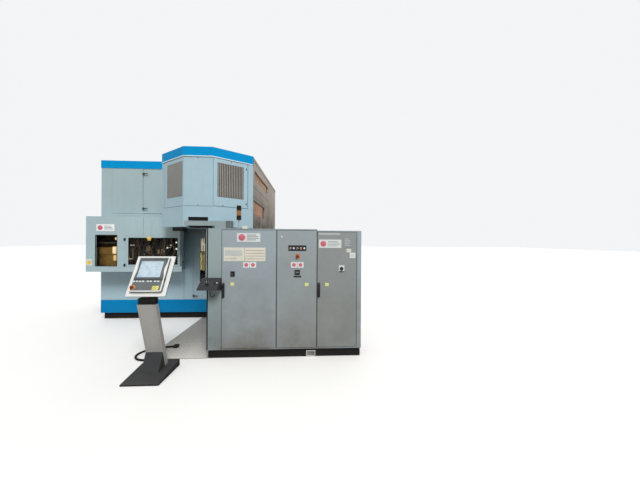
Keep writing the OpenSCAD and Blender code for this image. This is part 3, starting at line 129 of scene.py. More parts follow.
def stepped(x0, x1, z0, z1, r, least, levels):
    """Rings of a rounded rectangle on a face, one for each level (inset, out): inset from all sides and as
    far out, its corners' radius smaller by the inset but not under least."""
    middle = np.array([(x0 + x1) / 2, (z0 + z1) / 2])
    rings = []
    for inset, out in levels:
        xz = middle + outline(x1 - x0 - 2 * inset, z1 - z0 - 2 * inset, max(r - inset, least))
        rings.append(np.stack([xz[:, 0], np.full(len(xz), out), xz[:, 1]], -1))
    return rings


def plate(x0, x1, z0, z1, out, r, bevel, base=0.0):
    """Flat plate with rounded corners and a bevelled front edge, from base to out in front of a face."""
    return bridge(stepped(x0, x1, z0, z1, r, 0.0, [(0, base), (0, out - bevel), (bevel, out)]))


def rim(x0, x1, z0, z1, band, out, r, base=0.0, bevel=0.5):
    """Picture frame: the outline and the same inset by band, joined by a low bevelled profile."""
    low = out - bevel
    levels = [(0, base), (0, low), (bevel, out), (band - bevel, out), (band, low), (band, base)]
    return bridge(stepped(x0, x1, z0, z1, r, 0.5, levels), loop=True)


def lathe(profile, at, n):
    """Turned part: profile is (radius, out) from the face outwards, turned about the out axis at (x, z)."""
    a = np.linspace(0, 2 * math.pi, n, endpoint=False)
    x = at[0]
    z = at[1]
    rings = [np.stack([x + r * np.cos(a), np.full(n, out), z + r * np.sin(a)], -1) for r, out in profile]
    return bridge(rings)


def tube(path, radius, sides, waves=None):
    """Tube along a path: at each point a circle square to the path, its radius times waves where given."""
    path = np.asarray(path, float)
    along = np.gradient(path, axis=0)
    along /= np.linalg.norm(along, axis=1)[:, None]
    up = np.where(np.abs(along[:, 2:3]) > 0.9, [[1.0, 0.0, 0.0]], [[0.0, 0.0, 1.0]])
    side = np.cross(along, up)
    side /= np.linalg.norm(side, axis=1)[:, None]
    top = np.cross(side, along)
    a = np.linspace(0, 2 * math.pi, sides, endpoint=False)[None, :, None]
    r = radius * (np.ones(len(path)) if waves is None else waves)[:, None, None]
    return bridge(path[:, None] + r * (np.cos(a) * side[:, None] + np.sin(a) * top[:, None]))


def spline(points, steps):
    """Catmull-Rom curve through the points, steps to a span, its ends repeated."""
    p = np.asarray(points, float)
    p = np.concatenate([p[:1], p, p[-1:]])
    t = (np.arange(steps) / steps)[None, :, None]
    a, b, c, d = (p[k:len(p) - 3 + k][:, None] for k in range(4))
    curve = 0.5 * (2 * b + (c - a) * t + (2 * a - 5 * b + 4 * c - d) * t**2 + (3 * b - a - 3 * c + d) * t**3)
    return np.concatenate([curve.reshape(-1, 3), p[-1:]])


# Faces: an origin and three directions, across the face, out of it and up it, in plant millimetres


def face(origin, across, out, up=(0, 0, 1)):
    """A face as its origin and the rows of its three directions."""
    return np.array(origin, float), np.array([across, out, up], float)


def upright(y):
    """Upright face at depth y that looks towards the operator."""
    return face((0, y, 0), (1, 0, 0), (0, -1, 0))


def facet(a, b):
    """Face over the edge from a to b of the head housing, its outward side to the right of the edge."""
    d = np.array(b, float) - np.array(a, float)
    d /= np.linalg.norm(d)
    return face((a[0], a[1], 0), (d[0], d[1], 0), (d[1], -d[0], 0))


def tilted(origin, angle_out, angle_up):
    """Face that looks forwards and up: (cosine, sine) of its outward and of its upward direction."""
    return face(origin, (1, 0, 0), (0, -angle_out[0], angle_out[1]), (0, angle_up[0], angle_up[1]))


def on(side, part):
    """A part given as across, out and up on a face, in plant axes."""
    origin, axes = side
    points, faces = part
    return origin + points @ axes, faces


# Depth of the body's and of the guard box's front, corners of the head housing, slopes of panel and desk
WALK = 1850
BOX_Y = 1490
BAY = [(-1377, 1250), (-750, 800), (-245, 800), (361, 1250)]
PANEL_TILT = math.radians(26.5)
PANEL_COS = math.cos(PANEL_TILT)
PANEL_SIN = math.sin(PANEL_TILT)
DESK_RISE = 138
DESK_DEPTH = 185
DESK_RUN = math.hypot(DESK_RISE, DESK_DEPTH)
DESK_SLOPE = math.atan2(DESK_RISE, DESK_DEPTH)
DESK_COS = math.cos(DESK_SLOPE)
DESK_SIN = math.sin(DESK_SLOPE)

FRONT = upright(0)
PLINTH = upright(15)
BODY = upright(WALK)
GUARD = upright(BOX_Y)
LEFT_FACET = facet(BAY[0], BAY[1])
CENTRE_FACET = upright(BAY[1][1])
RIGHT_FACET = facet(BAY[2], BAY[3])
SIDE = face((BAY[3][0], 0, 0), (0, 1, 0), (1, 0, 0))
PANEL = tilted((-522, -545, 1034), (PANEL_COS, PANEL_SIN), (PANEL_SIN, PANEL_COS))
DESK = tilted((-75, -185, 1040), (DESK_SIN, DESK_COS), (DESK_COS, DESK_SIN))


def place(name, mesh, material, body):
    """Puts a mesh into the scene as an object that rides on a body."""
    mesh.materials.append(material)
    thing = bpy.data.objects.new(name, mesh)
    bpy.context.scene.collection.objects.link(thing)
    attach(thing, body)
    return thing


def piece(name, material, parts, body="machine", smooth=40):
    """A mesh object out of parts in plant millimetres, with its place in its mesh, riding on a body."""
    points, faces = join(parts)
    mesh = bpy.data.meshes.new(name)
    mesh.from_pydata(row(points).tolist(), [], faces)
    work = bmesh.new()
    work.from_mesh(mesh)
    bmesh.ops.recalc_face_normals(work, faces=work.faces)
    work.to_mesh(mesh)
    work.free()
    mesh.shade_smooth()
    mesh.set_sharp_from_angle(angle=math.radians(smooth))
    return place(name, mesh, material, body)


def fit(name, material, side, shapes, body="machine"):
    """A piece whose shapes are given on a face."""
    return piece(name, material, [on(side, shape) for shape in shapes], body)


# Shader helpers


def feed(node, values):
    """Fills a node's inputs: a value that is a socket is linked, any other is set."""
    for key, value in values.items():
        if isinstance(value, bpy.types.NodeSocket):
            node.id_data.links.new(value, node.inputs[key])
        else:
            node.inputs[key].default_value = value


def add(tree, kind, values=None, **settings):
    """A new node with its settings and its inputs."""
    node = tree.nodes.new(kind)
    for key, value in settings.items():
        setattr(node, key, value)
    feed(node, values or {})
    return node


FLOAT = "NodeSocketFloat"
COLOUR = "NodeSocketColor"


def shared(inputs, *outputs):
    """Turns a function that gives outputs from inputs into a node group of its name, which outputs only
    masks, heights and the like, or a colour. An input of four numbers is a colour, any other a number."""

    def make(build):
        tree = bpy.data.node_groups.new(build.__name__, "ShaderNodeTree")
        for label, value in inputs.items():
            kind = FLOAT if isinstance(value, float) else COLOUR
            tree.interface.new_socket(label, in_out="INPUT", socket_type=kind).default_value = value
        for label in outputs:
            kind = COLOUR if label == "Colour" else FLOAT
            tree.interface.new_socket(label, in_out="OUTPUT", socket_type=kind)
        given = tree.nodes.new("NodeGroupInput").outputs
        feed(tree.nodes.new("NodeGroupOutput"), build(tree, given))
        return tree

    return make


def look(build):
    """Turns a function that gives a shader's inputs into one that makes a material of the given name."""

    def make(name, *values, **named):
        material = bpy.data.materials.new(name)
        material.use_nodes = True
        tree = material.node_tree
        feed(tree.nodes["Principled BSDF"], build(tree, *values, **named))
        return material

    return make


def calc(tree, operation, a, b=0.0, clamp=False):
    """One step of arithmetic on values or sockets."""
    return add(tree, "ShaderNodeMath", {0: a, 1: b}, operation=operation, use_clamp=clamp).outputs[0]


def plus(tree, a, b, clamp=False):
    """Sum of two values or sockets."""
    return calc(tree, "ADD", a, b, clamp)


def times(tree, *values, clamp=False):
    """Product of the values in their order, kept between 0 and 1 at its last step where clamp is set."""
    product = values[0]
    for value in values[1:-1]:
        product = calc(tree, "MULTIPLY", product, value)
    return calc(tree, "MULTIPLY", product, values[-1], clamp)


def here(tree):
    """Object coordinates, which are the frame's metres."""
    return add(tree, "ShaderNodeTexCoord").outputs["Object"]


def axis(tree, spot, name):
    """One coordinate of a point."""
    return add(tree, "ShaderNodeSeparateXYZ", {0: spot}).outputs[name]


def noise(tree, scale, detail=2.0, stretch=None):
    """Noise on object coordinates, stretched along an axis where its factor is small."""
    spot = here(tree)
    if stretch is not None:
        spot = add(tree, "ShaderNodeMapping", {"Vector": spot, "Scale": stretch}).outputs[0]
    return add(tree, "ShaderNodeTexNoise", {"Vector": spot, "Scale": scale, "Detail": detail}).outputs["Fac"]


def remap(tree, value, a, b, c=0.0, d=1.0):
    """Carries a to b over to c to d in a straight line, and holds the ends beyond them."""
    values = {"Value": value, "From Min": a, "From Max": b, "To Min": c, "To Max": d}
    return add(tree, "ShaderNodeMapRange", values).outputs[0]


def blend(tree, factor, a, b):
    """Colour a at factor 0, colour b at factor 1."""
    return add(tree, "ShaderNodeMix", {0: factor, 6: a, 7: b}, data_type="RGBA").outputs[2]


def relief(tree, height, strength, distance):
    """Normal of a surface with this height on it."""
    values = {"Height": height, "Strength": strength, "Distance": distance}
    return add(tree, "ShaderNodeBump", values).outputs[0]


@shared({"Colour": (0.5, 0.5, 0.5, 1), "Depth": 0.05, "Size": 1.2}, "Colour")
def tone_patches(tree, given):
    """Broad patches and fine mottling: the colour times one plus or minus Depth."""
    broad = noise(tree, given["Size"], 3)
    fine = noise(tree, times(tree, given["Size"], 9.0), 4)
    both = plus(tree, times(tree, broad, 1.4), times(tree, fine, 0.6))
    swing = calc(tree, "SUBTRACT", both, 1.0)
    factor = plus(tree, times(tree, swing, times(tree, given["Depth"], 4.0)), 1.0)
    scaled = add(tree, "ShaderNodeVectorMath", {0: given["Colour"], "Scale": factor}, operation="SCALE")
    return {"Colour": scaled.outputs[0]}


@shared({"Height": 0.6, "Strength": 0.3}, "Mask")
def floor_dust_and_shade(tree, given):
    """Dirt that settles low down, and where it reaches high also painted shade: strongest at the floor, gone
    at Height, broken up by noise.
    """
    z = axis(tree, here(tree), "Z")
    low = calc(tree, "SUBTRACT", 1.0, calc(tree, "DIVIDE", z, given["Height"]), True)
    curve = calc(tree, "POWER", low, 1.6)
    spots = remap(tree, noise(tree, 3.2, 5), 0.3, 0.7, 0.55, 1.25)
    return {"Mask": times(tree, curve, spots, given["Strength"], clamp=True)}


@shared({"Fineness": 14.0, "Strength": 0.3}, "Mask")
def streaks(tree, given):
    """Thin upright runs: noise drawn out along Z, only its peaks, fading in and out."""
    runs = noise(tree, given["Fineness"], 4, (1.0, 1.0, 0.05))
    where = noise(tree, 1.6, 2)
    peaks = remap(tree, runs, 0.56, 0.74)
    fading = remap(tree, where, 0.42, 0.66)
    return {"Mask": times(tree, peaks, fading, given["Strength"], clamp=True)}


@shared({"Radius": 0.004, "Strength": 0.5}, "Mask")
def edge_wear(tree, given):
    """Edge mask: how far a bevelled normal turns away from the true one, broken up by noise."""
    soft = add(tree, "ShaderNodeBevel", {"Radius": given["Radius"]}, samples=4).outputs[0]
    true = add(tree, "ShaderNodeNewGeometry").outputs["Normal"]
    same = add(tree, "ShaderNodeVectorMath", {0: soft, 1: true}, operation="DOT_PRODUCT").outputs["Value"]
    edge = remap(tree, same, 0.99, 0.8)
    spots = remap(tree, noise(tree, 24, 4), 0.42, 0.62)
    return {"Mask": times(tree, edge, spots, given["Strength"], clamp=True)}


@shared({"Fineness": 260.0}, "Height")
def orange_peel(tree, given):
    """Height of a sprayed or powder-coated skin: fine noise over a soft wave."""
    fine = noise(tree, given["Fineness"], 2)
    wave = noise(tree, 3.0, 1)
    return {"Height": plus(tree, times(tree, wave, 2.5), fine)}


@shared({"Fineness": 90.0}, "Height", "Roughness")
def machined_grain(tree, given):
    """Machining marks: noise drawn out along X, as a height and as a change of roughness."""
    lines = noise(tree, given["Fineness"], 4, (0.08, 1.0, 1.0))
    smear = noise(tree, 6.0, 3)
    return {"Height": lines, "Roughness": remap(tree, smear, 0.3, 0.7, 0.22, 0.42)}


def use(tree, effect, **values):
    """Places a shared group in a material with its own values, and gives its outputs."""
    return add(tree, "ShaderNodeGroup", values, node_tree=effect).outputs


def rgba(colour):
    """A colour with its alpha."""
    return (*colour, 1.0)


def patchy(tree, colour, depth, size):
    """A colour with the shared tone patches over it."""
    return use(tree, tone_patches, Colour=rgba(colour), Depth=depth, Size=size)[0]


DIRT = (0.16, 0.135, 0.10)
STAIN = (0.10, 0.085, 0.07)
FILM = (0.32, 0.30, 0.27)
BARE_METAL = (0.30, 0.29, 0.28)
GROOVE_GRIME = (0.12, 0.105, 0.09)
# Colour of the painted shade on the walkway wall under the head housing
PAINTED_SHADE = (0.046, 0.030, 0.013)
# Painted reflection: the chequer plate grows brighter from this depth to its front edge
GLARE_FROM = 1000


@look
def painted(tree, colour, rough=0.42, depth=0.05, dust=0.2, runs=0.12, size=1.2, reach=0.7, wear=0.4,
            peel=0.12, fine=260.0, gloss=0.4, dirt=DIRT):
    """Paint on metal: patchy tone, floor dirt and runs, worn edges, and the skin's fine relief. On the
    cabinets the floor dirt reaches high and is partly painted shade.
    """
    low = use(tree, floor_dust_and_shade, Height=reach, Strength=dust)[0]
    drips = use(tree, streaks, Strength=runs)[0]
    dirt_and_shade = calc(tree, "MAXIMUM", low, drips)
    dirty_and_shaded = blend(tree, dirt_and_shade, patchy(tree, colour, depth, size), rgba(dirt))
    edges = use(tree, edge_wear, Strength=wear)[0]
    height = use(tree, orange_peel, Fineness=fine)[0]
    return {
        "Base Color": blend(tree, edges, dirty_and_shaded, rgba(BARE_METAL)),
        "Roughness": plus(tree, times(tree, dirt_and_shade, 0.3), rough, True),
        "Normal": relief(tree, height, peel, 0.002),
        "Specular IOR Level": gloss,
    }


@look
def metal(tree, colour, fine=90.0, rough=0.0, stain=0.3, depth=0.06):
    """Bare machined metal: drawn-out grain, smears in its gloss, and dark stains."""
    marks = use(tree, machined_grain, Fineness=fine)
    spots = times(tree, remap(tree, noise(tree, 7, 5), 0.52, 0.72), stain)
    return {
        "Base Color": blend(tree, spots, patchy(tree, colour, depth, 3.0), rgba(STAIN)),
        "Roughness": plus(tree, marks["Roughness"], rough, True),
        "Metallic": 1.0,
        "Normal": relief(tree, marks["Height"], 0.08, 0.001),
    }


@look
def plastic(tree, colour, rough=0.4, depth=0.04, relief_depth=0.1, dust=0.12, gloss=0.3):
    """Moulded plastic or rubber: a fine even grain, slight fading and a film of dust."""
    film = times(tree, remap(tree, noise(tree, 9, 4), 0.45, 0.75), dust)
    return {
        "Base Color": blend(tree, film, patchy(tree, colour, depth, 6.0), rgba(FILM)),
        "Roughness": plus(tree, times(tree, film, 0.8), rough, True),
        "Normal": relief(tree, noise(tree, 420.0, 2), relief_depth, 0.0008),
        "Specular IOR Level": gloss,
    }


@look
def pane(tree, colour, rough, smear, bend):
    """Clear or smoked polycarbonate: light passes through, smears dull it in places."""
    return {
        "Base Color": patchy(tree, colour, 0.05, 2.0),
        "Roughness": remap(tree, noise(tree, 5, 5), 0.4, 0.75, rough, rough + smear),
        "Transmission Weight": 1.0,
        "IOR": bend,
    }


@look
def glowing(tree, colour, light, strength):
    """Lit or signal-coloured plastic, and painted light on parts that are no lamps: its own colour, and an
    even glow of the same kind.
    """
    return {
        "Base Color": patchy(tree, colour, 0.06, 20.0),
        "Emission Color": patchy(tree, light, 0.05, 14.0),
        "Emission Strength": strength,
        "Roughness": 0.3,
    }


@look
def screen_look(tree):
    """A lit screen: rows of pale fields between thin darker lines, laid out on the piece's own UV map."""
    uv = add(tree, "ShaderNodeUVMap", uv_map="screen").outputs[0]
    spot = add(tree, "ShaderNodeMapping", {"Vector": uv, "Scale": (4.0, 3.4, 1.0)}).outputs[0]
    fields = add(tree, "ShaderNodeTexBrick", {
        "Vector": spot, "Color1": (0.40, 0.55, 0.66, 1), "Color2": (0.62, 0.73, 0.81, 1),
        "Mortar": (0.28, 0.40, 0.50, 1), "Scale": 1.6, "Mortar Size": 0.03, "Brick Width": 0.9,
        "Row Height": 0.42})
    haze = remap(tree, noise(tree, 16, 3), 0.35, 0.65, 0.0, 0.5)
    cloudy = blend(tree, haze, fields.outputs[0], (0.74, 0.83, 0.90, 1))
    return {
        "Emission Color": cloudy,
        "Emission Strength": 0.43,
        "Base Color": blend(tree, 0.6, cloudy, (0.05, 0.06, 0.07, 1)),
        "Roughness": 0.18,
    }


@look
def tread_look(tree, colour, worn_and_glare_colour):
    """Rolled steel plate: dull between the bars, scuffed bright in patches, and brighter towards its front
    edge as a painted reflection, with dirt in the grooves."""
    patches = remap(tree, noise(tree, 1.7, 4, (1.0, 0.35, 1.0)), 0.45, 0.68, 0.0, 0.25)
    back, front = (float(row((0, y, 0))[1]) for y in (GLARE_FROM, 0))
    # Painted reflection towards the front edge
    front_glare = calc(tree, "POWER", remap(tree, axis(tree, here(tree), "Y"), back, front), 2.4)
    wear_and_glare = plus(tree, patches, front_glare, True)
    bright = blend(tree, wear_and_glare, patchy(tree, colour, 0.10, 2.6), rgba(worn_and_glare_colour))
    grime = remap(tree, noise(tree, 30, 4), 0.54, 0.76, 0.0, 0.4)
    return {
        "Base Color": blend(tree, grime, bright, rgba(GROOVE_GRIME)),
        "Metallic": 0.25,
        "Roughness": remap(tree, wear_and_glare, 0.0, 0.55, 0.55, 0.33),
        "Normal": relief(tree, noise(tree, 160, 3), 0.25, 0.001),
    }


HOUSING_BLUE = (0.345, 0.490, 0.562)
# Painted shade on the walkway wall: where it begins on the left, and the heights in metres between which it
# grows
PAINTED_SHADE_LEFT = -1330
PAINTED_SHADE_LOW = 0.95
PAINTED_SHADE_HIGH = 2.05


def wall_paint():
    """The walkway wall's paint: the housing's, with painted shade that grows upwards under the head housing.
    It stays on the front face and right of the guard box, and its strength is a power of the height, broken
    up by noise."""
    material = painted("wall_blue_grey", HOUSING_BLUE, depth=0.04, dust=0.30, reach=1.0, runs=0.16)
    tree = material.node_tree
    shader = tree.nodes["Principled BSDF"]
    clean = shader.inputs["Base Color"].links[0].from_socket
    spot = here(tree)
    left, front, _ = (float(v) for v in row((PAINTED_SHADE_LEFT, WALK, 0)))
    facing = remap(tree, axis(tree, spot, "Y"), front + 0.03, front + 0.10, 1.0, 0.0)
    right = remap(tree, axis(tree, spot, "X"), left - 0.12, left + 0.04)
    rise = calc(tree, "POWER", remap(tree, axis(tree, spot, "Z"), PAINTED_SHADE_LOW, PAINTED_SHADE_HIGH), 1.7)
    rise = times(tree, rise, remap(tree, noise(tree, 2.2, 4, (1.6, 1.0, 0.7)), 0.3, 0.7, 0.80, 1.05))
    # Painted shade: darkest at the top, under the head housing
    shade_mask = times(tree, times(tree, rise, times(tree, facing, right)), 0.97, clamp=True)
    feed(shader, {"Base Color": blend(tree, shade_mask, clean, rgba(PAINTED_SHADE))})
    return material


# Cabinet paint: its floor dust is strong and reaches high, so the cabinets grow darker and greyer towards the
# bottom, partly dust and partly painted shade
CABINET_LOOK = {"rough": 0.46, "depth": 0.04, "reach": 2.1, "runs": 0.08, "wear": 0.3, "fine": 420.0,
                "gloss": 0.35}
CABINET_DIRT_AND_SHADE = (0.135, 0.125, 0.105)

WALL_PAINT = wall_paint()
HOUSING = painted("housing_blue_grey", HOUSING_BLUE, 0.40, 0.035, 0.30, 0.10, reach=1.0)
UPPER_PAINT = painted("upper_blue_grey", (0.325, 0.420, 0.440), depth=0.035)
BOX_PAINT = painted("guard_blue_grey", (0.340, 0.450, 0.478), depth=0.045, runs=0.18)
# Extruder guard's side: its paint is darker than the housing's as painted shade, and it grows much darker
# towards the bottom
GUARD_PAINT = painted("extruder_guard_shaded_grey", (0.415, 0.368, 0.325), 0.55, 0.08, 3.8, 0.3, size=1.6, reach=3.5,
                      dirt=(0.085, 0.078, 0.060), gloss=0.3)
BAND = painted("band_blue", (0.000, 0.270, 0.590), 0.5, 0.05, 0.05, 0.03, reach=0.5, wear=0.15, gloss=0.08)
BASE_BLUE = painted("base_blue", (0.000, 0.190, 0.430), 0.5, 0.08, reach=0.45, gloss=0.08,
                    dirt=(0.05, 0.05, 0.045))
CABINET = painted("cabinet_grey_1", (0.290, 0.346, 0.380), dust=0.85, dirt=CABINET_DIRT_AND_SHADE, **CABINET_LOOK)
# Doors 2 and 3 get darker, greyer copies of the same cabinet paint: painted shade
CABINET_SHADED_2 = painted("cabinet_grey_shaded_2", (0.275, 0.318, 0.335), dust=0.8, dirt=CABINET_DIRT_AND_SHADE, **CABINET_LOOK)
CABINET_SHADED_3 = painted("cabinet_grey_shaded_3", (0.232, 0.258, 0.258), dust=0.6, dirt=(0.12, 0.11, 0.09),
                    **{**CABINET_LOOK, "rough": 0.48, "depth": 0.05, "runs": 0.10})
RISER = painted("riser_grey", (0.262, 0.330, 0.345), dust=0.8, dirt=(0.10, 0.10, 0.09),
                **{**CABINET_LOOK, "depth": 0.05, "reach": 1.9, "runs": 0.10, "wear": 0.4})
LOUVRE = painted("louvre_grey", (0.262, 0.248, 0.224), 0.38, 0.12, 0.0, 0.3, size=2.4, gloss=0.5)
PLINTH_BLACK = painted("plinth_black", (0.007, 0.007, 0.007), 0.6, 0.15, 0.08, reach=0.12, wear=0.2,
                       gloss=0.1)
FRAME_PAINT = painted("frame_paint", (0.12, 0.15, 0.17), 0.5, 0.08, runs=0.25, wear=0.6)
DRIVE_BLUE = painted("drive_blue", (0.03, 0.14, 0.34), 0.45, 0.08, runs=0.2, wear=0.5)
PEDESTAL_LIGHT = painted("pedestal_light", (0.345, 0.340, 0.325), dust=0.35, size=3.0, reach=0.8, wear=0.25,
                         fine=500.0)
PEDESTAL_DARK = painted("pedestal_dark", (0.024, 0.026, 0.028), 0.6, 0.12, 0.10, 0.1, size=4.0, reach=0.25,
                        wear=0.35, peel=0.3, fine=600.0, gloss=0.25)
FIELD_DARK = painted("panel_field_grey", (0.105, 0.119, 0.125), 0.5, 0.06, 0.0, 0.1, size=6.0, wear=0.2,
                     fine=600.0, gloss=0.3)
PANEL_WHITE = painted("panel_white", (0.640, 0.645, 0.625), 0.38, 0.03, 0.1, 0.05, size=4.0, wear=0.2,
                      fine=500.0)
# Paler copy of the housing's paint for the lip under the band: a painted highlight
LIP_HIGHLIGHT = painted("lip_painted_highlight", (0.600, 0.740, 0.790), 0.4, 0.03, 0.0, 0.05)
STEEL = metal("bright_steel", (0.62, 0.62, 0.61))
ROD_STEEL = metal("rod_steel", (0.72, 0.72, 0.72), 160.0, -0.08, 0.12)
MOULD = metal("mould_alloy", (0.70, 0.71, 0.72), 60.0, 0.05, 0.2)
HEATER = metal("heater_alloy", (0.52, 0.50, 0.46), 40.0, 0.12, 0.5, 0.12)
BRASS = metal("brass", (0.62, 0.42, 0.16), 60.0, 0.10, 0.4, 0.15)
CLEAR = pane("clear_pane", (0.90, 0.93, 0.93), 0.03, 0.10, 1.13)
SMOKED = pane("smoked_pane", (0.70, 0.63, 0.50), 0.04, 0.08, 1.05)
BLACK = plastic("black_plastic", (0.010, 0.010, 0.011), 0.45, gloss=0.2, dust=0.05)
LATCH_GREY = plastic("latch_grey", (0.040, 0.045, 0.046), 0.45, dust=0.1)
GLOSS_BLACK = plastic("gloss_black", (0.010, 0.010, 0.011), 0.14, dust=0.02, gloss=0.8)
RUBBER_AND_SHADE = plastic("black_rubber_and_shade", (0.008, 0.008, 0.008), 0.65, relief_depth=0.2, gloss=0.15, dust=0.04)
SEAM = plastic("seam_shadow", (0.035, 0.045, 0.050), 0.7, gloss=0.1, dust=0.1)
GREY_BOX = plastic("grey_box", (0.110, 0.140, 0.150), 0.5)
RED = plastic("red_plastic", (0.145, 0.024, 0.012), 0.35, gloss=0.25, dust=0.04)
ORANGE = plastic("orange_plastic", (0.44, 0.165, 0.045), 0.38)
YELLOW = plastic("yellow_plastic", (0.72, 0.50, 0.06))
DEVICE = plastic("device_plastic", (0.42, 0.43, 0.42), 0.45, gloss=0.4)
HOSE = plastic("hose_brown", (0.10, 0.055, 0.025), 0.5)
DARK_BROWN = plastic("dark_brown", (0.030, 0.017, 0.012), 0.6, 0.3, gloss=0.15, dust=0.06)
PANEL_BROWN = plastic("panel_brown", (0.27, 0.195, 0.085), 0.5, 0.35, gloss=0.2)
FIN_GREY = plastic("fin_grey", (0.180, 0.215, 0.225), 0.5, gloss=0.25)
# Amber sheets glow a little though they are no lamps: painted light
AMBER_PAINTED_GLOW = glowing("amber_sheet", (0.36, 0.135, 0.045), (0.50, 0.20, 0.07), 0.16)
CREAM_PAINTED_GLOW = glowing("cream_painted_glow", (0.60, 0.52, 0.40), (0.90, 0.76, 0.55), 0.32)
YELLOW_LAMP_AND_GLOW = glowing("yellow_lamp_and_painted_glow", (0.75, 0.62, 0.34), (1.0, 0.80, 0.42), 0.55)
WORK_LIGHT = glowing("work_light", (0.85, 0.78, 0.66), (1.0, 0.86, 0.66), 0.75)
LENS = glowing("amber_lens", (0.240, 0.104, 0.024), (0.55, 0.22, 0.03), 0.04)
LAMP_WHITE = glowing("white_lamp", (0.62, 0.61, 0.58), (0.9, 0.9, 0.85), 0.05)
LAMP_GREY = glowing("grey_lamp", (0.16, 0.16, 0.15), (0.3, 0.3, 0.3), 0.02)
LAMP_RED = glowing("red_lamp", (0.55, 0.12, 0.07), (0.8, 0.1, 0.05), 0.10)


def sign(name, colour, rough=0.45, dust=0.12):
    """Printed sheet: smooth plastic with hardly any grain."""
    return plastic(name, colour, rough, relief_depth=0.03, dust=dust)


SIGN_WHITE = sign("sign_white", (0.62, 0.66, 0.65), 0.42, 0.10)
SIGN_BRIGHT = sign("sign_bright", (0.78, 0.80, 0.82), 0.42, 0.04)
SIGN_CREAM = sign("sign_cream", (0.64, 0.62, 0.53), dust=0.15)
SIGN_GREY = sign("sign_grey", (0.23, 0.25, 0.26))
SIGN_PALE = sign("sign_pale_grey", (0.40, 0.44, 0.44))
SIGN_BLUE = sign("sign_blue_grey", (0.40, 0.45, 0.47))
SIGN_BROWN = sign("sign_brown", (0.26, 0.20, 0.16))
SIGN_ROSE = sign("sign_rose", (0.52, 0.13, 0.17))
SIGN_YELLOW = sign("sign_yellow", (0.62, 0.66, 0.24))
GOLD_TAG = sign("gold_tag", (0.62, 0.55, 0.13))
SCREEN = screen_look("screen_image")
TREAD = tread_look("tread_plate", (0.130, 0.120, 0.110), (0.46, 0.43, 0.39))
TREAD_BAR = tread_look("tread_bar", (0.52, 0.50, 0.47), (0.88, 0.84, 0.78))

NODE_MATERIALS = {
    HOUSING: ["head_housing", "bay_door"],
    WALL_PAINT: ["lower_housing", "service_door"],
    UPPER_PAINT: ["upper_cabinet", "upper_door"],
    BOX_PAINT: ["guard_box", "guard_door"],
    GUARD_PAINT: ["extruder_guard"],
    BAND: ["roof_fascia"],
    BASE_BLUE: ["machine_base"],
    PLINTH_BLACK: ["plinths"],
    CABINET: ["electrical_cabinet", "cabinet_door_1"],
    CABINET_SHADED_2: ["cabinet_door_2"],
    CABINET_SHADED_3: ["cabinet_door_3"],
    RISER: ["cable_riser"],
    CLEAR: ["guard_door_window", "service_door_window"],
    SMOKED: ["fixed_windows"],
    STEEL: ["clamp_carriage", "blow_carriage", "extruder_barrel", "console_button"],
    ROD_STEEL: ["guide_rails", "extruder_screw"],
    FRAME_PAINT: ["machine_bed", "blow_frame", "clamp_cylinder", "platen_front", "platen_rear"],
    DRIVE_BLUE: ["extruder_drive", "extruder_cradle"],
    MOULD: ["mould_front", "mould_rear", "hopper"],
    HEATER: ["heater_bands", "extrusion_head"],
    LATCH_GREY: ["latch_upper", "latch_lower", "latch_service"],
    BLACK: ["swing_handle_1", "swing_handle_3", "selector_knob", "main_switch", "roof_boxes",
            "conduit_gland"],
    GLOSS_BLACK: ["joystick"],
    RED: ["cabinet_stop_button", "panel_stop_button"],
    LENS: ["stack_light_lens"],
    DEVICE: ["switchgear"],
    TREAD: ["chequer_plate"],
    RUBBER_AND_SHADE: ["floor_conduit", "pedestal_neck", "stack_light"],
    PEDESTAL_LIGHT: ["pedestal_column"],
    PANEL_WHITE: ["operator_panel"],
    PEDESTAL_DARK: ["pedestal_base", "console"],
}
for material, names in NODE_MATERIALS.items():
    for name in names:
        nodes[name].data.materials.clear()
        nodes[name].data.materials.append(material)


# Floor conduit: its route from the pedestal's rear to the inlet on the chequer plate, in plant millimetres
CONDUIT_R = 14
RIB_PITCH = 6.4
RIB_DEPTH = 0.07
CONDUIT_ROUTE = [
    (-600, -147, 46), (-600, -120, 44), (-610, -92, 36), (-634, -62, 24), (-668, -42, 16),
    (-712, -34, 14), (-762, -36, 14), (-815, -40, 14), (-868, -38, 14), (-922, -28, 14),
    (-974, -6, 14), (-1020, 30, 14), (-1054, 78, 14), (-1070, 132, 14), (-1066, 188, 14),
    (-1042, 238, 14), (-1002, 276, 15), (-954, 302, 19), (-902, 320, 23), (-848, 334, 25),
    (-796, 348, 25), (-750, 360, 25), (-706, 368, 25), (-664, 370, 25),
]


def floor_conduit():
    """Ribbed conduit: a tube along the route, its radius rising and falling once in each rib."""
    path = spline(CONDUIT_ROUTE, 40)
    step = np.linalg.norm(np.diff(path, axis=0), axis=1)
    s = np.concatenate([[0], np.cumsum(step)])
    even = np.arange(0, s[-1], RIB_PITCH / 4)
    path = np.stack([np.interp(even, s, path[:, k]) for k in range(3)], -1)
    waves = 1 - RIB_DEPTH * (0.5 + 0.5 * np.cos(2 * math.pi * even / RIB_PITCH))
    tubes = [tube(path, CONDUIT_R, 14, waves)]
    thing = piece("ribbed_conduit", RUBBER_AND_SHADE, tubes, smooth=60)
    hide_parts("floor_conduit")


floor_conduit()


# Chequer plate: groups of five raised bars, turned a quarter from group to group
TREAD_PITCH = 34
BAR_LEN = 27
BAR_W = 4.4
BAR_H = 1.3
BARE_SIDES = 16
BARE_ENDS = 60


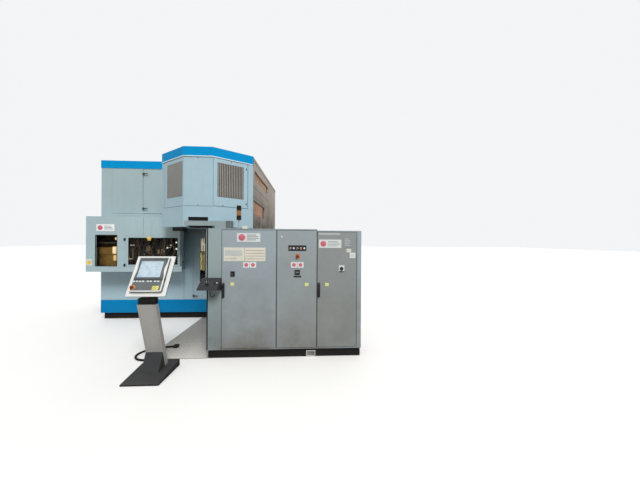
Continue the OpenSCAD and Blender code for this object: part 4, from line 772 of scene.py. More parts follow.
def tread_bars():
    """Each bar is a low lens: its half width follows a circular arc along its length. Five bars side by side
    make a group, and the groups stand along and across by turns."""
    x0, y0, _ = plant("chequer_plate", 0)
    x1, y1, top = plant("chequer_plate", 1)
    t = np.array([-1.0, -0.62, 0.0, 0.62, 1.0])
    half = BAR_W / 2 * np.sqrt(np.clip(1 - t**2, 0.02, 1))
    left = np.stack([t * BAR_LEN / 2, half, np.zeros(5)], -1)
    ridge = np.stack([t * BAR_LEN / 2 * 0.9, np.zeros(5), BAR_H * np.clip(1.1 - t**2, 0.15, 1)], -1)
    right = left * [1, -1, 1]
    bar = np.stack([left, ridge, right])
    apart = np.array([0, TREAD_PITCH / 5.4, 0])
    five = bar[None] + (np.arange(5) - 2)[:, None, None, None] * apart
    turned = five[..., [1, 0, 2]] * [1, -1, 1]
    nx = int((x1 - x0 - BARE_SIDES) // TREAD_PITCH)
    ny = int((y1 - y0 - BARE_ENDS) // TREAD_PITCH)
    cx, cy = np.meshgrid(np.arange(nx), np.arange(ny), indexing="ij")
    odd = ((cx + cy) % 2).reshape(-1)
    middle = [x0 + 12 + (cx + 0.5) * TREAD_PITCH, y0 + 6 + (cy + 0.5) * TREAD_PITCH, 0 * cx + top - 0.05]
    middle = np.stack(middle, -1).reshape(-1, 3)
    shapes = np.where(odd[:, None, None, None, None] == 0, five[None], turned[None])
    points = (shapes + middle[:, None, None, None]).reshape(-1, 15, 3)
    i, j = np.meshgrid(np.arange(2), np.arange(4), indexing="ij")
    quad = np.stack([i * 5 + j, i * 5 + j + 1, (i + 1) * 5 + j + 1, (i + 1) * 5 + j], -1).reshape(-1, 4)
    faces = (quad[None] + 15 * np.arange(len(points))[:, None, None]).reshape(-1, 4)
    mesh = bpy.data.meshes.new("tread_bars")
    mesh.from_pydata(row(points.reshape(-1, 3)).tolist(), [], faces[:, ::-1].tolist())
    place("tread_bars", mesh, TREAD_BAR, "machine")


tread_bars()


# Signs and plates on the cabinets: each raised pad gets a bare or plainly coloured plate


def signs(name, body, side, material, boxes, out=2.4, r=3.0):
    """Plates over the given rectangles (left, right, bottom, top), each grown by 1 mm over its pad."""
    fit(name, material, side, [plate(a - 1, b + 1, c - 1, d + 1, out, r, 0.5) for a, b, c, d in boxes], body)


def bars(x0, x1, z0, z1, rows, fill=0.45, ragged=0.25, out=2.75, base=2.2):
    """Plain bars one above the other, each a little shorter or longer by a sine of its row number."""
    pitch = (z1 - z0) / rows
    parts = []
    for k in range(rows):
        end = x1 - ragged * (x1 - x0) * (0.5 + 0.5 * math.sin(2.3 * k + 1))
        z = z1 - (k + 0.5) * pitch
        parts.append(plate(x0, end, z - fill * pitch / 2, z + fill * pitch / 2, out, 0.8, 0.1, base))
    return parts


def disc(x, z, r, out=2.75, base=2.2):
    """Flat round field with a slight bevel."""
    return lathe([(r, base), (r, out - 0.1), (r - 0.2, out), (0.1, out)], (x, z), 28)


def cabinet_signs():
    """White, cream and grey plates with plain discs and bars, each riding on its door."""
    plates = (
        ("white_plates_1", 1, SIGN_WHITE,
         [(422, 758, 1706, 1832), (513, 604, 1326, 1408), (611, 700, 1326, 1408)]),
        ("cream_plates", 1, SIGN_CREAM, [(232, 528, 1422, 1620), (538, 834, 1422, 1620)]),
        ("white_plates_2", 2, SIGN_WHITE, [(1212, 1300, 1326, 1408), (1308, 1397, 1326, 1408)]),
        ("white_plates_3", 3, SIGN_WHITE,
         [(1627, 1961, 1622, 1745), (2090, 2174, 1471, 1549), (1928, 2009, 1262, 1360)]),
        ("cream_plate_3", 3, SIGN_CREAM, [(2039, 2109, 1555, 1608)]),
        ("grey_plate_3", 3, SIGN_GREY, [(1997, 2113, 1629, 1791)]),
    )
    for name, door, material, boxes in plates:
        signs(name, f"cabinet_door_{door}", FRONT, material, boxes)
    signs("name_strip", "cabinet_door_3", FRONT, SIGN_PALE, [(1623, 1938, 1817, 1844)], 1.2, 1)
    blue = bars(246, 512, 1500, 1580, 5, 0.7, 0.06) + bars(250, 470, 1440, 1478, 1, 0.35)
    blocks = bars(2010, 2100, 1650, 1770, 5, 0.5) + bars(2104, 2160, 1485, 1535, 3, 0.35)
    blocks += bars(2050, 2098, 1566, 1598, 2, 0.35)
    fields = (
        ("rose_fields_1", 1, SIGN_ROSE, [disc(492, 1769, 50), disc(558, 1367, 28), disc(655, 1367, 28)]),
        ("rose_fields_2", 2, SIGN_ROSE, [disc(1256, 1367, 28), disc(1352, 1367, 28)]),
        ("rose_fields_3", 3, SIGN_ROSE, [disc(1690, 1684, 44)]),
        ("grey_bars_1", 1, SIGN_GREY, bars(562, 742, 1722, 1818, 4, 0.5)),
        ("grey_bars_3", 3, SIGN_GREY, bars(1754, 1944, 1640, 1730, 4, 0.35)),
        ("grey_blocks_3", 3, SIGN_PALE, blocks),
        ("blue_blocks", 1, SIGN_BLUE, blue),
        ("brown_lines", 1, SIGN_BROWN, bars(548, 826, 1436, 1598, 4, 0.17, 0.02)),
    )
    for name, door, material, shapes in fields:
        fit(name, material, FRONT, shapes, f"cabinet_door_{door}")
    for door, x, z in ((1, 357, 1086), (2, 1446, 1075), (3, 1748, 1074)):
        tag = [(x - 26, x + 26, z - 22, z + 22)]
        signs(f"yellow_tag_{door}", f"cabinet_door_{door}", FRONT, SIGN_YELLOW, tag, 0.8, 6)


LAMP_X = 1200
LAMP_Z = 1614
LAMP_STEP = 52
HINGE_GAP = 24


def indicator_strip():
    """Black strip with five domed lamps in steel rings: turned profiles at even steps."""
    door = "cabinet_door_2"
    screw = [(3.4, 4.4), (3.4, 5.6), (2.2, 6.4), (0.1, 6.4)]
    strip = [plate(1171, 1438, 1576, 1657, 4.5, 5, 1.2)]
    strip += [lathe(screw, (x, 1648), 12) for x in (1262.5, 1350.5)]
    fit("indicator_strip", BLACK, FRONT, strip, door)
    spots = [(LAMP_X + LAMP_STEP * k, LAMP_Z) for k in range(5)]
    lamps = [lathe([(11.5, 4.4), (11.5, 8), (10, 11), (6, 12.6), (0.1, 13)], spot, 20) for spot in spots]
    fit("indicator_lamps_white", LAMP_WHITE, FRONT, [lamps[1], lamps[4]], door)
    fit("indicator_lamps_grey", LAMP_GREY, FRONT, [lamps[0], lamps[2]], door)
    fit("indicator_lamp_red", LAMP_RED, FRONT, [lamps[3]], door)
    rings = [lathe([(15, 4.4), (15, 6.4), (12.6, 7.2), (12.2, 4.4)], spot, 20) for spot in spots]
    fit("indicator_rings", STEEL, FRONT, rings, door)


def door_edges():
    """Dark edge line of each cabinet door: four strips just proud of the leaf's outline, painted shade that
    widens the dark of the joints. Those at the top and the bottom end short of the hinge, so that they clear
    the cabinet when the door turns."""
    for k in (1, 2, 3):
        x0, _, z0 = plant(f"cabinet_door_{k}", 0)
        x1, _, z1 = plant(f"cabinet_door_{k}", 1)
        lines = [(x0 + 0.1, x0 + 3.5, z0 + 0.1, z1 - 0.1), (x1 - 5.4, x1 - 2.0, z0 + 0.1, z1 - 0.1)]
        lines += [(x0 + 3, x1 - HINGE_GAP, a, a + 3.4) for a in (z0 + 0.1, z1 - 3.5)]
        # Painted shade along the door joints
        edge = [plate(*r, 0.3, 0.4, 0.1, -0.6) for r in lines]
        fit(f"door_edge_{k}", RUBBER_AND_SHADE, FRONT, edge, f"cabinet_door_{k}")


def cabinet_controls():
    """Meter, stop collar, selector and switch plates, handle plates and lock: plates and turned profiles."""
    one, two, three = (f"cabinet_door_{k}" for k in (1, 2, 3))
    meter = [
        rim(1266, 1344, 1220, 1292, 8, 9, 6),
        plate(1272, 1338, 1226, 1286, 3.0, 4, 0.5),
        plate(1252, 1364, 1183, 1203, 3.6, 2, 0.4),
    ]
    fit("meter_housing", BLACK, FRONT, meter, two)
    digits = [plate(1282 + 12 * k, 1290 + 12 * k, 1248, 1266, 3.5, 1, 0.2, 2.9) for k in range(4)]
    fit("meter_fields", SIGN_GREY, FRONT, digits, two)
    collar = lathe([(38, 0.2), (38, 2.6), (35, 4.0), (24, 4.4), (23, 4.4), (23, 3.2)], (1309, 1496), 32)
    fit("stop_collar", ORANGE, FRONT, [collar], two)
    fit("selector_plate", BLACK, FRONT, [plate(328, 392, 1191, 1272, 1.72, 5, 0.1)], one)
    fit("selector_lamp", RED, FRONT, [plate(350, 370, 1197, 1207, 3.0, 2, 0.4, 1.6)], one)
    mark = plate(357.6, 362.4, 1214, 1247, 26.2, 1.4, 0.3, 25.0)
    fit("selector_mark", SIGN_GREY, FRONT, [mark], "selector_knob")
    mark = plate(1966, 1970, 1296, 1326, 32.2, 1.4, 0.3, 31.0)
    fit("switch_mark", SIGN_GREY, FRONT, [mark], "main_switch")
    fit("switch_legend", BLACK, FRONT, [plate(1927, 2010, 1261, 1274, 3.2, 1.5, 0.2, 2.2)], three)
    for k, left in ((1, 203.5), (3, 1603.5)):
        shell = plate(left + 5, left + 43, 883, 1101, 1.75, 8, 0.1)
        fit(f"handle_plate_{k}", BLACK, FRONT, [shell], f"cabinet_door_{k}")
        grip = lathe([(6.5, 27.5), (6.5, 29.2), (5.2, 30.0), (0.1, 30.0)], (left + 24, 1084), 20)
        fit(f"handle_lock_{k}", GREY_BOX, FRONT, [grip], f"swing_handle_{k}")
    lock = lathe([(14, 0), (14, 2.0), (11, 3.2), (6.5, 3.2), (6.0, 1.2), (0.1, 1.2)], (1075, 1787), 20)
    fit("quarter_turn_lock", SIGN_WHITE, FRONT, [lock], two)


def plinth_vent():
    """Silver vent in the cabinets' plinth: a frame round seven blades, each a flat oval turned by 0.7 rad."""
    parts = [rim(1445, 1581, 8, 87, 9, 6, 4)]
    tilt = np.array([[math.cos(0.7), math.sin(0.7)], [-math.sin(0.7), math.cos(0.7)]])
    section = outline(9, 1.6, 0.7, 2) @ tilt + [1.5, 0]
    for k in range(7):
        blade = section + [0, 20 + 9.2 * k]
        parts.append(bridge([np.column_stack([np.full(len(blade), x), blade]) for x in (1450, 1576)]))
    fit("plinth_vent", STEEL, PLINTH, parts)


cabinet_signs()
indicator_strip()
door_edges()
cabinet_controls()
plinth_vent()


# Operator panel: dark field between white side strips, screen bezel, keys, stop collar and a yellow plate
FIELD_X = 189
FIELD_Z0 = 54
FIELD_Z1 = 497
RAISE = 34
FIELD_TOP = RAISE + 0.8
STRIP_TOP = RAISE + 2.2
PLATE_T = 16
SCREEN_AT = (-152, 236)
SCREEN_SIZE = (280, 216)


def strip_edge(z, side):
    """Inner edge of a white side strip at height z: a broad wave, widest beside the screen's middle."""
    t = (z - FIELD_Z0) / (FIELD_Z1 - FIELD_Z0)
    wave = 0.5 - 0.5 * np.cos(2 * math.pi * np.clip((t - 0.38) / 0.52, 0, 1))
    base, swell = (10, 9) if side < 0 else (14, 17)
    return base + swell * wave + 6 * np.clip(0.4 - t, 0, 1)


def side_strip(side):
    """A strip up the field's edge: across it runs from the field's side to the wavy inner edge."""
    z = np.linspace(FIELD_Z0, FIELD_Z1, 60)
    outer = np.full(len(z), side * (FIELD_X + 0.8))
    inner = side * (FIELD_X - strip_edge(z, side))
    low = np.full(len(z), RAISE - 0.5)
    top = np.full(len(z), STRIP_TOP)
    section = [(outer, low), (outer, top), (inner + side * 0.8, top), (inner, top - 0.8), (inner, low)]
    rings = [np.stack([x, out, z], -1) for x, out in section]
    return bridge(np.array(rings).transpose(1, 0, 2))


def map_screen(glass):
    """UV map of the screen: across and up on the panel, as shares of the screen's size."""
    layer = glass.data.uv_layers.new(name="screen")
    points = np.empty(len(glass.data.vertices) * 3)
    glass.data.vertices.foreach_get("co", points)
    local = ((points.reshape(-1, 3) - PLANT) * 1000 - PANEL[0]) @ PANEL[1].T
    uv = (local[:, [0, 2]] - SCREEN_AT) / SCREEN_SIZE
    loops = np.empty(len(glass.data.loops), int)
    glass.data.loops.foreach_get("vertex_index", loops)
    layer.data.foreach_set("uv", uv[loops].reshape(-1))


def operator_panel():
    """Plates and frames on the tilted panel: the field as strips round the screen, the bezel over them, keys
    at their places in a row, a turned collar, and a thin frame round the panel's plate."""
    x = FIELD_X + 0.4
    field = [
        plate(-x, x, FIELD_Z0 - 0.4, 229, FIELD_TOP, 2, 0.2, 0.3),
        rim(-x, x, 192, FIELD_Z1 + 0.4, 30, FIELD_TOP, 2, 0.3, 0.2),
        rim(-160, 136, 228, 460, 9, RAISE + 2.4, 8, RAISE - 1, 0.8),
        plate(-FIELD_X + 20, -158, 200, 480, FIELD_TOP, 1, 0.1, RAISE - 1),
        plate(134, FIELD_X - 20, 200, 480, FIELD_TOP, 1, 0.1, RAISE - 1),
        plate(-165, 165, 458, 480, FIELD_TOP, 1, 0.1, RAISE - 1),
    ]
    x = FIELD_X + 0.8
    foot = plate(-x, x, FIELD_Z0 - 0.8, FIELD_Z0 + 13, STRIP_TOP, 3, 0.8, RAISE - 0.5)
    left = (-175, -139, -103, -67, -11, 25, 77, 113)
    keys = [plate(x - 0.5, x + 24.5, 175, 191, RAISE + 4.4, 3.5, 1.2, RAISE) for x in left]
    collar = [(33, RAISE), (33, RAISE + 2.5), (29, RAISE + 4.5), (20, RAISE + 5), (19, RAISE + 3)]
    head = [(4.5, -0.1), (4.5, 1.4), (3.4, 2.4), (0.1, 2.4)]
    lines = bars(80, 144, 78, 118, 4, 0.3, 0.3, RAISE + 1.9, RAISE + 1.4)
    pieces = (
        ("panel_field", FIELD_DARK, field),
        ("panel_strips", PANEL_WHITE, [side_strip(-1), side_strip(1), foot]),
        ("panel_keys", SIGN_WHITE, keys),
        ("panel_stop_collar", ORANGE, [lathe(collar, (-159, 106), 32)]),
        ("panel_tag", GOLD_TAG, [plate(74, 151, 72, 124, RAISE + 1.6, 4, 0.4, RAISE)]),
        ("panel_tag_lines", SIGN_BROWN, lines),
        ("panel_plate_edge", PEDESTAL_DARK, [rim(-237.8, 237.8, -0.8, 533.8, 1.6, -6, 2, 2 - PLATE_T, 0.4)]),
        ("panel_screws", STEEL, [lathe(head, (x, z), 12) for x in (-221, 221) for z in (16, 270, 517)]),
    )
    for name, material, shapes in pieces:
        fit(name, material, PANEL, shapes, "operator_panel")
    glass = plate(-151.8, 127.8, 236.2, 451.8, RAISE - 2.5, 1, 0.2, RAISE - 3.9)
    map_screen(fit("panel_screen", SCREEN, PANEL, [glass], "operator_panel"))


operator_panel()


# Guard box: hinges, interlock, plates and gaskets. The corners are the left bottom ones of the two doors.
GUARD_DOOR_X = -2219
GUARD_DOOR_Z = 1180
SERVICE_X = -1057
SERVICE_Z = 435


def guard_fittings():
    """Hinges with turned screws, an interlock, a plate and a tag with plain fields, and pane frames."""
    hinge = [plate(-2264, -2231, z - 28, z + 28, 15, 9, 4) for z in (1727, 1205)]
    screw = [(5, 14), (5, 17), (3.6, 18), (0.1, 18)]
    hinge += [lathe(screw, (-2247.5, z + s), 12) for z in (1727, 1205) for s in (-14, 14)]
    fit("guard_hinges", BLACK, GUARD, hinge)
    core = plate(-1778, -1746, 1750, 1772, 21.2, 4, 0.6, 19)
    fit("interlock_core", SIGN_CREAM, GUARD, [core], "guard_door")
    key = [plate(-1808, -1718, 1742, 1780, 20, 6, 2), plate(-1792, -1736, 1706, 1746, 15, 6, 2)]
    fit("interlock_key", YELLOW, GUARD, key, "guard_door")
    signs("guard_plate", "machine", GUARD, SIGN_BRIGHT, [(-2797, -2450, 1896, 2030)], 1.6, 6)
    fit("guard_plate_field", SIGN_ROSE, GUARD, [disc(-2726, 1963, 50, 1.95, 1.4)])
    fit("guard_plate_bars", SIGN_GREY, GUARD, bars(-2646, -2470, 1920, 2008, 3, out=1.95, base=1.4))
    signs("guard_tag", "machine", GUARD, SIGN_WHITE, [(-2985, -2884, 1200, 1326)], 1.4, 4)
    fit("guard_tag_field", YELLOW, GUARD, [plate(-2972, -2897, 1220, 1294, 1.75, 8, 0.1, 1.2)])
    fit("pane_seal", RUBBER_AND_SHADE, GUARD, [rim(-2821, -2394, 1180, 1818, 12, 3, 6)])
    x = GUARD_DOOR_X
    z = GUARD_DOOR_Z
    fit("guard_door_seal", RUBBER_AND_SHADE, GUARD, [rim(x + 41, x + 1016, z + 36, z + 584, 10, 3, 6)], "guard_door")
    x = SERVICE_X
    z = SERVICE_Z
    seals = [rim(x + a, x + b, z + 336, z + 1334, 8, 3, 6) for a, b in ((148, 261), (278, 544))]
    fit("service_door_seals", RUBBER_AND_SHADE, BODY, seals, "service_door")


guard_fittings()


# Head housing and body: lip under the band with a painted highlight, slats, dark joints, a strip of painted
# shade, bolts and hinge marks
LIP_Z = 3230
SLAT_Z0 = 2517
SLAT_Z1 = 3128
CABLES = 9


def bay_lip():
    """A thin lip carried round the facets under the blue band: its section is a low rounded rectangle. Its
    paint is paler than the housing's, a painted highlight.
    """
    section = outline(9, 18, 3, 3) + [4.5, LIP_Z - 9.5]
    normals = np.array([[-0.30, -0.95], [-0.30, -0.954], [0.32, -0.947], [0.32, -0.95]])
    normals /= np.linalg.norm(normals, axis=1)[:, None]
    corners = np.array(BAY, float)
    rings = [np.column_stack([p + section[:, :1] * n, section[:, 1]]) for p, n in zip(corners, normals)]
    piece("band_lip", LIP_HIGHLIGHT, [bridge(rings)])


def slats(x0, x1, count, fill, out, base):
    """Upright slats side by side: count flat strips with rounded long edges, each fill of a step wide."""
    step = (x1 - x0) / count
    parts = []
    for k in range(count):
        left = x0 + (k + 0.5 - fill / 2) * step
        parts.append(plate(left, left + fill * step, SLAT_Z0, SLAT_Z1, out, 2.5, 1.2, base))
    return parts


def joints(rows, out=0.7, base=-0.3):
    """Thin dark lines: flat strips over the given rectangles (left, right, bottom, top)."""
    return [plate(*r, out, 0.5, 0.1, base) for r in rows]


def bay_fittings():
    """Slats over the openings of the two outer facets, dark joints, small bolts and hinge marks."""
    door = "bay_door"
    fit("louvre_back", RUBBER_AND_SHADE, RIGHT_FACET, [plate(86, 568, 2513, 3132, 0.5, 2, 0.1, -1)], door)
    fit("louvre_slats", LOUVRE, RIGHT_FACET, slats(90, 564, 15, 0.62, 3.4, 0.3), door)
    fit("louvre_edge", GREY_BOX, RIGHT_FACET, [rim(84, 570, 2511, 3134, 7, 1.2, 3, -1)], door)
    fit("grille_slats", LOUVRE, LEFT_FACET, slats(202, 728, 22, 0.50, 2.6, 0.4))
    back = [plate(200, 730, 2515, 3130, 0.6, 3, 0.1, -2), rim(196, 734, 2511, 3134, 6, 1.6, 3, -1)]
    fit("grille_back", GREY_BOX, LEFT_FACET, back)
    left = joints([(102, 756, 2331, 2336), (102, 756, 3200, 3205), (100, 104, 2331, 3205)])
    middle = joints([(-745, -249, z - 2.5, z + 2.5) for z in (2333, 3202.5)])
    seams = [on(LEFT_FACET, j) for j in left] + [on(CENTRE_FACET, j) for j in middle]
    piece("head_joints", SEAM, seams)
    lines = ((12.5, 655, 2339.5, 2344.5), (12.5, 655, 3203.5, 3208.5), (650, 655, 2344, 3204),
             (12.5, 14, 2344, 3204))
    fit("bay_door_edge", SEAM, RIGHT_FACET, [plate(*r, 0.5, 0.4, 0.1, -0.6) for r in lines], door)
    bolt = [(9, 0), (9, 2.4), (7, 3.4), (0.1, 3.4)]
    spots = [(side, x, z) for side, x in ((CENTRE_FACET, -498), (LEFT_FACET, 60)) for z in (2352, 3192)]
    bolts = [on(side, lathe(bolt, (x, z), 16)) for side, x, z in spots]
    piece("bay_bolts", GREY_BOX, bolts)
    marks = [plate(617, 633, z - 20, z + 20, 3, 4, 0.8) for z in (3105, 2423)]
    marks += [lathe(bolt, spot, 16) for spot in ((180, 2362), (330, 3186))]
    fit("bay_door_marks", BLACK, RIGHT_FACET, marks, door)


def body_joints():
    """Dark joints of the body's front, round the service door and on the extruder guard's side, and a dark
    strip of painted shade up the guard box's right edge.
    """
    lines = [(1301, 3100, z, z + 7) for z in (2807, 2607)] + [(y, y + 7, 1975, 3380) for y in (3096, 3796)]
    fit("guard_side_joints", SEAM, SIDE, joints(lines))
    left = plant("upper_cabinet", 0)[0] + 1
    fit("upper_skirt", UPPER_PAINT, BODY, [plate(left, -1386, 2192, 2334, 0.5, 1, 0.1, -0.3)])
    x, _, z = plant("upper_door", 0)
    top = plant("upper_door", 1)[2]
    fit("upper_door_edge", SEAM, BODY, joints([(x + 0.3, x + 4.3, z + 1, top - 1)], 0.3, -0.5), "upper_door")
    lines = joints([(-1254.5, -1249.5, 418, 1940)])
    lines += joints([(-2771, -2125, 2288, 2292), (-2125, -1390, 2286, 2294)], 1.1, 0.2)
    lines.append(rim(SERVICE_X - 3, SERVICE_X + 597, SERVICE_Z - 3, SERVICE_Z + 1513, 3.4, 0.5, 1, -0.3, 0.1))
    fit("body_joints", SEAM, BODY, lines)
    fit("guard_front_joint", GREY_BOX, GUARD, joints([(-1887.5, -1883, 1812, 2188)]))
    # Painted shade: a dark strip up the guard box's right edge, where its side is in shade
    strip = plate(-1158, -1123, 1182, 1962, 1.6, 2, 0.4)
    fit("guard_edge_shade", GREY_BOX, GUARD, [strip])


def trunk_cables():
    """Cables in the notch over the trunk: splines that rise out of its end and bend in under the roof."""
    parts = []
    for k in range(CABLES):
        x = -650 + 38 * k
        sag = 8 * math.sin(1.7 * k)
        route = [(x, 905, 2075), (x + 4, 880, 2098 + sag), (x - 3, 845, 2112 + sag), (x + 2, 838, 2150)]
        route += [(x, 900, 2230 + 12 * k), (x, 1100, 2290)]
        parts.append(tube(spline(route, 6), 8.5 + 2 * (k % 3), 10))
    piece("trunk_cables", RUBBER_AND_SHADE, parts)


bay_lip()
bay_fittings()
body_joints()
trunk_cables()


# Inside the guards: what shows through the panes
HOSES = 16
VALVES = 9


def hose_route(k):
    """Route of hose k: down behind the door, a step along the row, swung and dropped by sines of k."""
    x = -2130 + 58 * k + 22 * math.sin(5.1 * k)
    swing = 60 * math.sin(2.7 * k + 1)
    drop = 80 * math.sin(1.9 * k + 0.5)
    return [(x, 1742, 1890), (x + swing, 1690, 1690 + drop), (x - 0.7 * swing, 1650 + drop / 4, 1500 + drop),
            (x + 0.5 * swing, 1690, 1360 - drop), (x + 30, 1742, 1230)]


def guard_inside():
    """Behind the guard door: hoses as splines between valve blocks, brass fittings and small lights.
    Every place is a step along the row plus a sine of its number, so that none repeats."""
    black = []
    brown = []
    for k in range(HOSES):
        hose = tube(spline(hose_route(k), 8), 11 + 4 * abs(math.sin(3.3 * k)), 10)
        (brown if k % 4 == 1 else black).append(hose)
    piece("guard_hoses_black", RUBBER_AND_SHADE, black)
    piece("guard_hoses_brown", HOSE, brown)
    side = upright(1748)
    blocks = []
    brass = []
    for k in range(VALVES):
        x = -2260 + 116 * k + 26 * math.sin(4.3 * k)
        z = 1540 + 100 * math.sin(2.2 * k)
        blocks.append(plate(x, x + 44 + 20 * math.sin(k), z, z + 58 + 24 * math.sin(1.7 * k), 40, 6, 4))
        turned = [(10, 36), (10, 52), (7, 56), (7, 68), (0.1, 68)]
        brass.append(lathe(turned, (x + 22, z - 24 + 60 * math.sin(3.1 * k)), 12))
    brass.append(plate(-1330, -1290, 1300, 1520, 20, 20, 5))
    fit("valve_blocks", HOSE, side, blocks)
    fit("brass_fittings", BRASS, side, brass)
    fit("guard_back_plate", DARK_BROWN, upright(1760), [plate(-2330, -1230, 1110, 1900, 10, 4, 1.5)])
    boxes = [plate(-1725, -1580, 1415, 1524, 60, 8, 4), plate(-2262, -2244, 1300, 1600, 34, 6, 3)]
    boxes += [plate(-1960 + 62 * k, -1938 + 62 * k, 1480, 1590, 52, 6, 3) for k in range(3)]
    fit("cream_boxes", PANEL_BROWN, side, boxes)
    spots = ((-1306, 1532, 20), (-1494, 1556, 16), (-1312, 1668, 17), (-2278, 1317, 14), (-1430, 1610, 9),
             (-2236, 1606, 8))
    lights = []
    for x, z, r in spots:
        lights.append(lathe([(5, 0), (5, 96), (r, 100), (r, 110), (r * 0.7, 114), (0.1, 115)], (x, z), 14))
    fit("work_lights_right", WORK_LIGHT, side, lights)


def window_inside():
    """Behind the left pane: brown panel with a joint, dark duct, and a cream lamp housing at its right."""
    side = upright(1700)
    fit("window_back_plate", DARK_BROWN, upright(1706), [plate(-2970, -2420, 1150, 1800, 6, 4, 1.5)])
    panel = [plate(-2915, -2430, 1405, 1560, 8, 6, 2), plate(-2915, -2430, 1164, 1398, 8, 6, 2)]
    fit("window_brown_panel", PANEL_BROWN, side, panel)
    duct = [plate(-2968, -2922, 1180, 1560, 40, 12, 6), plate(-2975, -2560, 1640, 1672, 60, 14, 6)]
    fit("window_duct", GREY_BOX, side, duct)
    fit("window_lamp_lower", YELLOW_LAMP_AND_GLOW, side, [plate(-2592, -2440, 1282, 1394, 58, 22, 10)])
    lamp = [plate(-2606, -2440, 1425, 1575, 62, 22, 10), plate(-2560, -2440, 1716, 1772, 56, 10, 6)]
    fit("window_lamp", WORK_LIGHT, side, lamp)


def service_inside():
    """Behind the service door's narrow pane: two sheets, brass ribs, dark clips and a cable. The upper sheet
    and the cable glow a little, as painted light.
    """
    door = "service_door"
    side = upright(1892)
    # Painted light: the cream sheet glows though it is no lamp
    fit("cream_shield", CREAM_PAINTED_GLOW, side, [plate(-915, -790, 1475, 1775, 8, 6, 2)], door)
    fit("brown_shield", PANEL_BROWN, side, [plate(-915, -790, 1040, 1466, 8, 6, 2)], door)
    ribs = [plate(-893 + 26 * k, -879 + 26 * k, 1050, 1400, 12, 5, 2, 7) for k in range(4)]
    fit("brass_ribs", BRASS, side, ribs, door)
    dark = [plate(-899 + 34 * k, -886 + 34 * k, 1700 - 30 * k, 1762, 11, 5, 1.5, 6) for k in range(3)]
    dark += [plate(-915, -880, 1180, 1225, 13, 6, 2, 6), plate(-868, -852, 1480, 1600, 11, 6, 1.5, 6)]
    fit("service_clips", HOSE, side, dark, door)
    route = ((-905, 1440), (-909, 1370), (-898, 1300), (-905, 1230), (-900, 1130), (-908, 1060))
    bow = spline([(x, 13, z) for x, z in route], 6)
    # Painted light: the cable glows yellow though it is no lamp
    fit("service_bow", YELLOW_LAMP_AND_GLOW, side, [tube(bow, 7, 10)], door)


def side_lining():
    """Amber sheets just inside the two side windows of the extruder guard, with a faint glow as painted
    light.
    """
    side = face((322, 0, 0), (0, 1, 0), (1, 0, 0))
    sheets = [plate(1405, 3100, 3000, 3210, 4, 4, 1), plate(1340, 2586, 2245, 2590, 4, 4, 1)]
    fit("amber_sheets", AMBER_PAINTED_GLOW, side, sheets)


guard_inside()
window_inside()
service_inside()
side_lining()


# Roof boxes, stack light, riser edges, console and pedestal
STACK_X = 391
STACK_Y = 200


def jacket(low, high, r=2.0):
    """Box between two corners with rounded upright edges: an outline carried from bottom to top."""
    low = np.array(low, float)
    high = np.array(high, float)
    xy = outline(high[0] - low[0], high[1] - low[1], r, 2) + (low[:2] + high[:2]) / 2
    return bridge([np.column_stack([xy, np.full(len(xy), z)]) for z in (low[2], high[2])])


def sleeve(x, y, z0, z1, radius, sides):
    """Upright round sleeve."""
    return tube([(x, y, z0), (x, y, z1)], radius, sides)


def roof_details():
    """Grey cover with upright fins over the vent box, a cream cover over the terminal box, the stack light's
    sleeve and dark bands, and black sheets of painted shade under the trunk and at the back of the notch,
    where those gaps are dark."""
    fins = [jacket((207 + 16 * k, 149, 1908), (213 + 16 * k, 158, 2017), 1) for k in range(5)]
    bands = [sleeve(STACK_X, STACK_Y, z0, z1, 34.7, 28) for z0, z1 in ((2094, 2109), (2186, 2206))]
    piece("vent_box_cover", GREY_BOX, [jacket((203.5, 157.5, 1900.5), (290.5, 262.5, 2024))])
    piece("vent_box_fins", FIN_GREY, fins)
    piece("terminal_box_cover", SIGN_CREAM, [jacket((449, 159, 1900.5), (529, 241, 1949.5), 3)])
    piece("stack_post_sleeve", SIGN_PALE, [sleeve(STACK_X, STACK_Y, 1909, 2042, 11.5, 20)])
    piece("stack_bands", RUBBER_AND_SHADE, bands)
    # Painted shade: black sheets in the dark gaps under the trunk and behind the cables in the notch
    piece("trunk_under_shade", RUBBER_AND_SHADE, [jacket((-578, 662, 1938), (-216, 742, 1973.6), 4)])
    piece("notch_back_shade", RUBBER_AND_SHADE, [jacket((-666, 818, 1967), (-322, 826, 2136), 1)])


def riser_edges():
    """Black edge profile up the riser's left front corner, with a pale flange beside it."""
    piece("riser_edge_black", RUBBER_AND_SHADE, [jacket((-10, -1.5, 121), (7, 60, 1899), 2)])
    piece("riser_edge_pale", SIGN_PALE, [jacket((-20, 6, 1185), (-10, 40, 1890), 2)])


def off_desk(x, s, levels, radius, sides):
    """Round part that stands square on the console's top: x from its left end, s up the slope from 0 to 1,
    between two levels above the top."""
    origin, axes = DESK
    foot = origin + axes.T @ np.array([x, 0.0, s * DESK_RUN])
    return tube([foot + level * axes[1] for level in levels], radius, sides)


def console_details():
    """Black key beside the button, steel collar on the joystick, and a short cable under the desk."""
    key = [off_desk(216, 0.48, (-2, 9), 9, 18), off_desk(216, 0.48, (8, 12), 12, 18)]
    piece("console_key", BLACK, key)
    bar = [off_desk(120, 0.42, (20, 30), 8, 16), off_desk(120, 0.42, (45, 51), 23.8, 28)]
    piece("joystick_collar", ROD_STEEL, bar, "joystick")
    cord = [(62, -60, 992), (64, -64, 960), (72, -58, 925), (88, -40, 905), (100, -12, 915), (103, 0.5, 935)]
    piece("console_cable", RUBBER_AND_SHADE, [tube(spline(cord, 8), 6, 10)])


def panel_ring():
    """Black ring round the operator panel's swivel foot."""
    piece("swivel_ring", RUBBER_AND_SHADE, [sleeve(-522, -487, 1018.4, 1030, 52, 32)], "operator_panel")


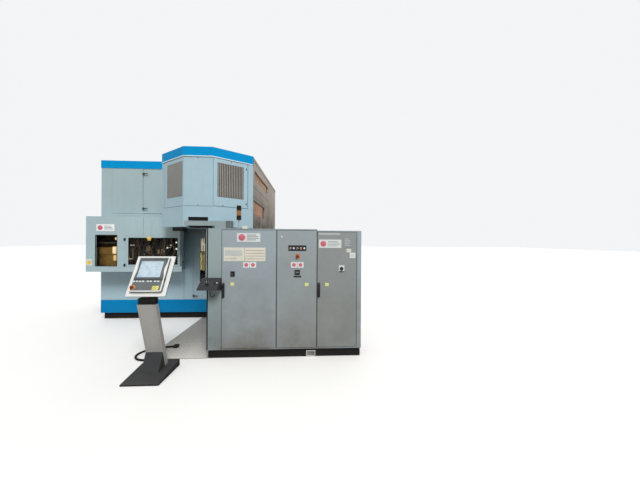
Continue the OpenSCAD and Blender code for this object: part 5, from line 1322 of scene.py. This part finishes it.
def pedestal_skirt():
    """Black skirt on the foot's sides and front edge: the wedge's side outline, from 16 to 85.5 mm high over
    471 mm, carried a little outwards from each side."""
    low = plant("pedestal_base", 0)
    high = plant("pedestal_base", 1)
    y = low[1]
    profile = [(y + 2, 1), (y + 473, 1), (y + 473, 85.5), (y + 2, 16)]
    parts = []
    for inner, outer in ((low[0] + 0.5, low[0] - 0.8), (high[0] - 0.5, high[0] + 0.8)):
        parts.append(bridge([[(x, a, b) for a, b in profile] for x in (inner, outer)]))
    parts.append(jacket((low[0] + 3, y - 0.8, 1), (high[0] - 3, y + 0.5, 13), 0.3))
    piece("pedestal_skirt", RUBBER_AND_SHADE, parts)


roof_details()
riser_edges()
console_details()
panel_ring()
pedestal_skirt()


# Floor, lights and background
FLOOR_HALF = 60
FLOOR_Z = -0.002
FLOOR_SEEN = (0.76, 0.75, 0.73)
FLOOR_LIT = (0.34, 0.31, 0.28)
SKY_LOW = 0.12
SKY_HIGH = 1.25
SKY_COLOUR = (0.97, 0.985, 1.0)
BACKGROUND = (0.90, 0.91, 0.92)
SUN_POWER = 2.75
SUN_WIDTH = 22
SUN_TURN = (42, 8, 14)


def seen_directly(tree, gloss=1.0):
    """1 for rays from the camera and through panes, and gloss for those mirrored in the machine."""
    rays = add(tree, "ShaderNodeLightPath").outputs
    seen = calc(tree, "MAXIMUM", rays["Is Camera Ray"], times(tree, rays["Is Glossy Ray"], gloss))
    return calc(tree, "MAXIMUM", seen, rays["Is Transmission Ray"])


@look
def floor_look(tree):
    """Pale where the floor is seen, and darker for the light that it throws back."""
    pale = patchy(tree, FLOOR_SEEN, 0.01, 0.4)
    return {"Base Color": blend(tree, seen_directly(tree), rgba(FLOOR_LIT), pale), "Roughness": 0.6}


def studio_floor():
    """One square at floor height."""
    s = FLOOR_HALF
    mesh = bpy.data.meshes.new("studio_floor")
    corners = [(x, y, FLOOR_Z) for x, y in ((-s, -s), (s, -s), (s, s), (-s, s))]
    mesh.from_pydata(corners, [], [(0, 1, 2, 3)])
    floor = bpy.data.objects.new("studio_floor", mesh)
    bpy.context.scene.collection.objects.link(floor)
    mesh.materials.append(floor_look("studio_floor"))


def studio_light():
    """Pale background; soft light that grows towards the top of the sky, and a broad sun from the front."""
    world = bpy.data.worlds.new("studio")
    world.use_nodes = True
    bpy.context.scene.world = world
    tree = world.node_tree
    tree.nodes.clear()
    z = axis(tree, add(tree, "ShaderNodeTexCoord").outputs["Generated"], "Z")
    rise = calc(tree, "POWER", calc(tree, "MAXIMUM", z, 0.0), 1.3)
    level = remap(tree, rise, 0.0, 1.0, SKY_LOW, SKY_HIGH)
    light = add(tree, "ShaderNodeBackground", {"Color": rgba(SKY_COLOUR), "Strength": level})
    back = add(tree, "ShaderNodeBackground", {"Color": rgba(BACKGROUND), "Strength": 1.0})
    seen = seen_directly(tree, 0.8)
    mix = add(tree, "ShaderNodeMixShader", {0: seen, 1: light.outputs[0], 2: back.outputs[0]})
    add(tree, "ShaderNodeOutputWorld", {"Surface": mix.outputs[0]})
    sun = bpy.data.lights.new("key", "SUN")
    sun.energy = SUN_POWER
    sun.angle = math.radians(SUN_WIDTH)
    sun.color = (1.0, 0.995, 0.985)
    lamp = bpy.data.objects.new("key", sun)
    lamp.rotation_euler = [math.radians(a) for a in SUN_TURN]
    bpy.context.scene.collection.objects.link(lamp)
    bpy.context.scene.view_settings.view_transform = "Standard"


studio_floor()
studio_light()
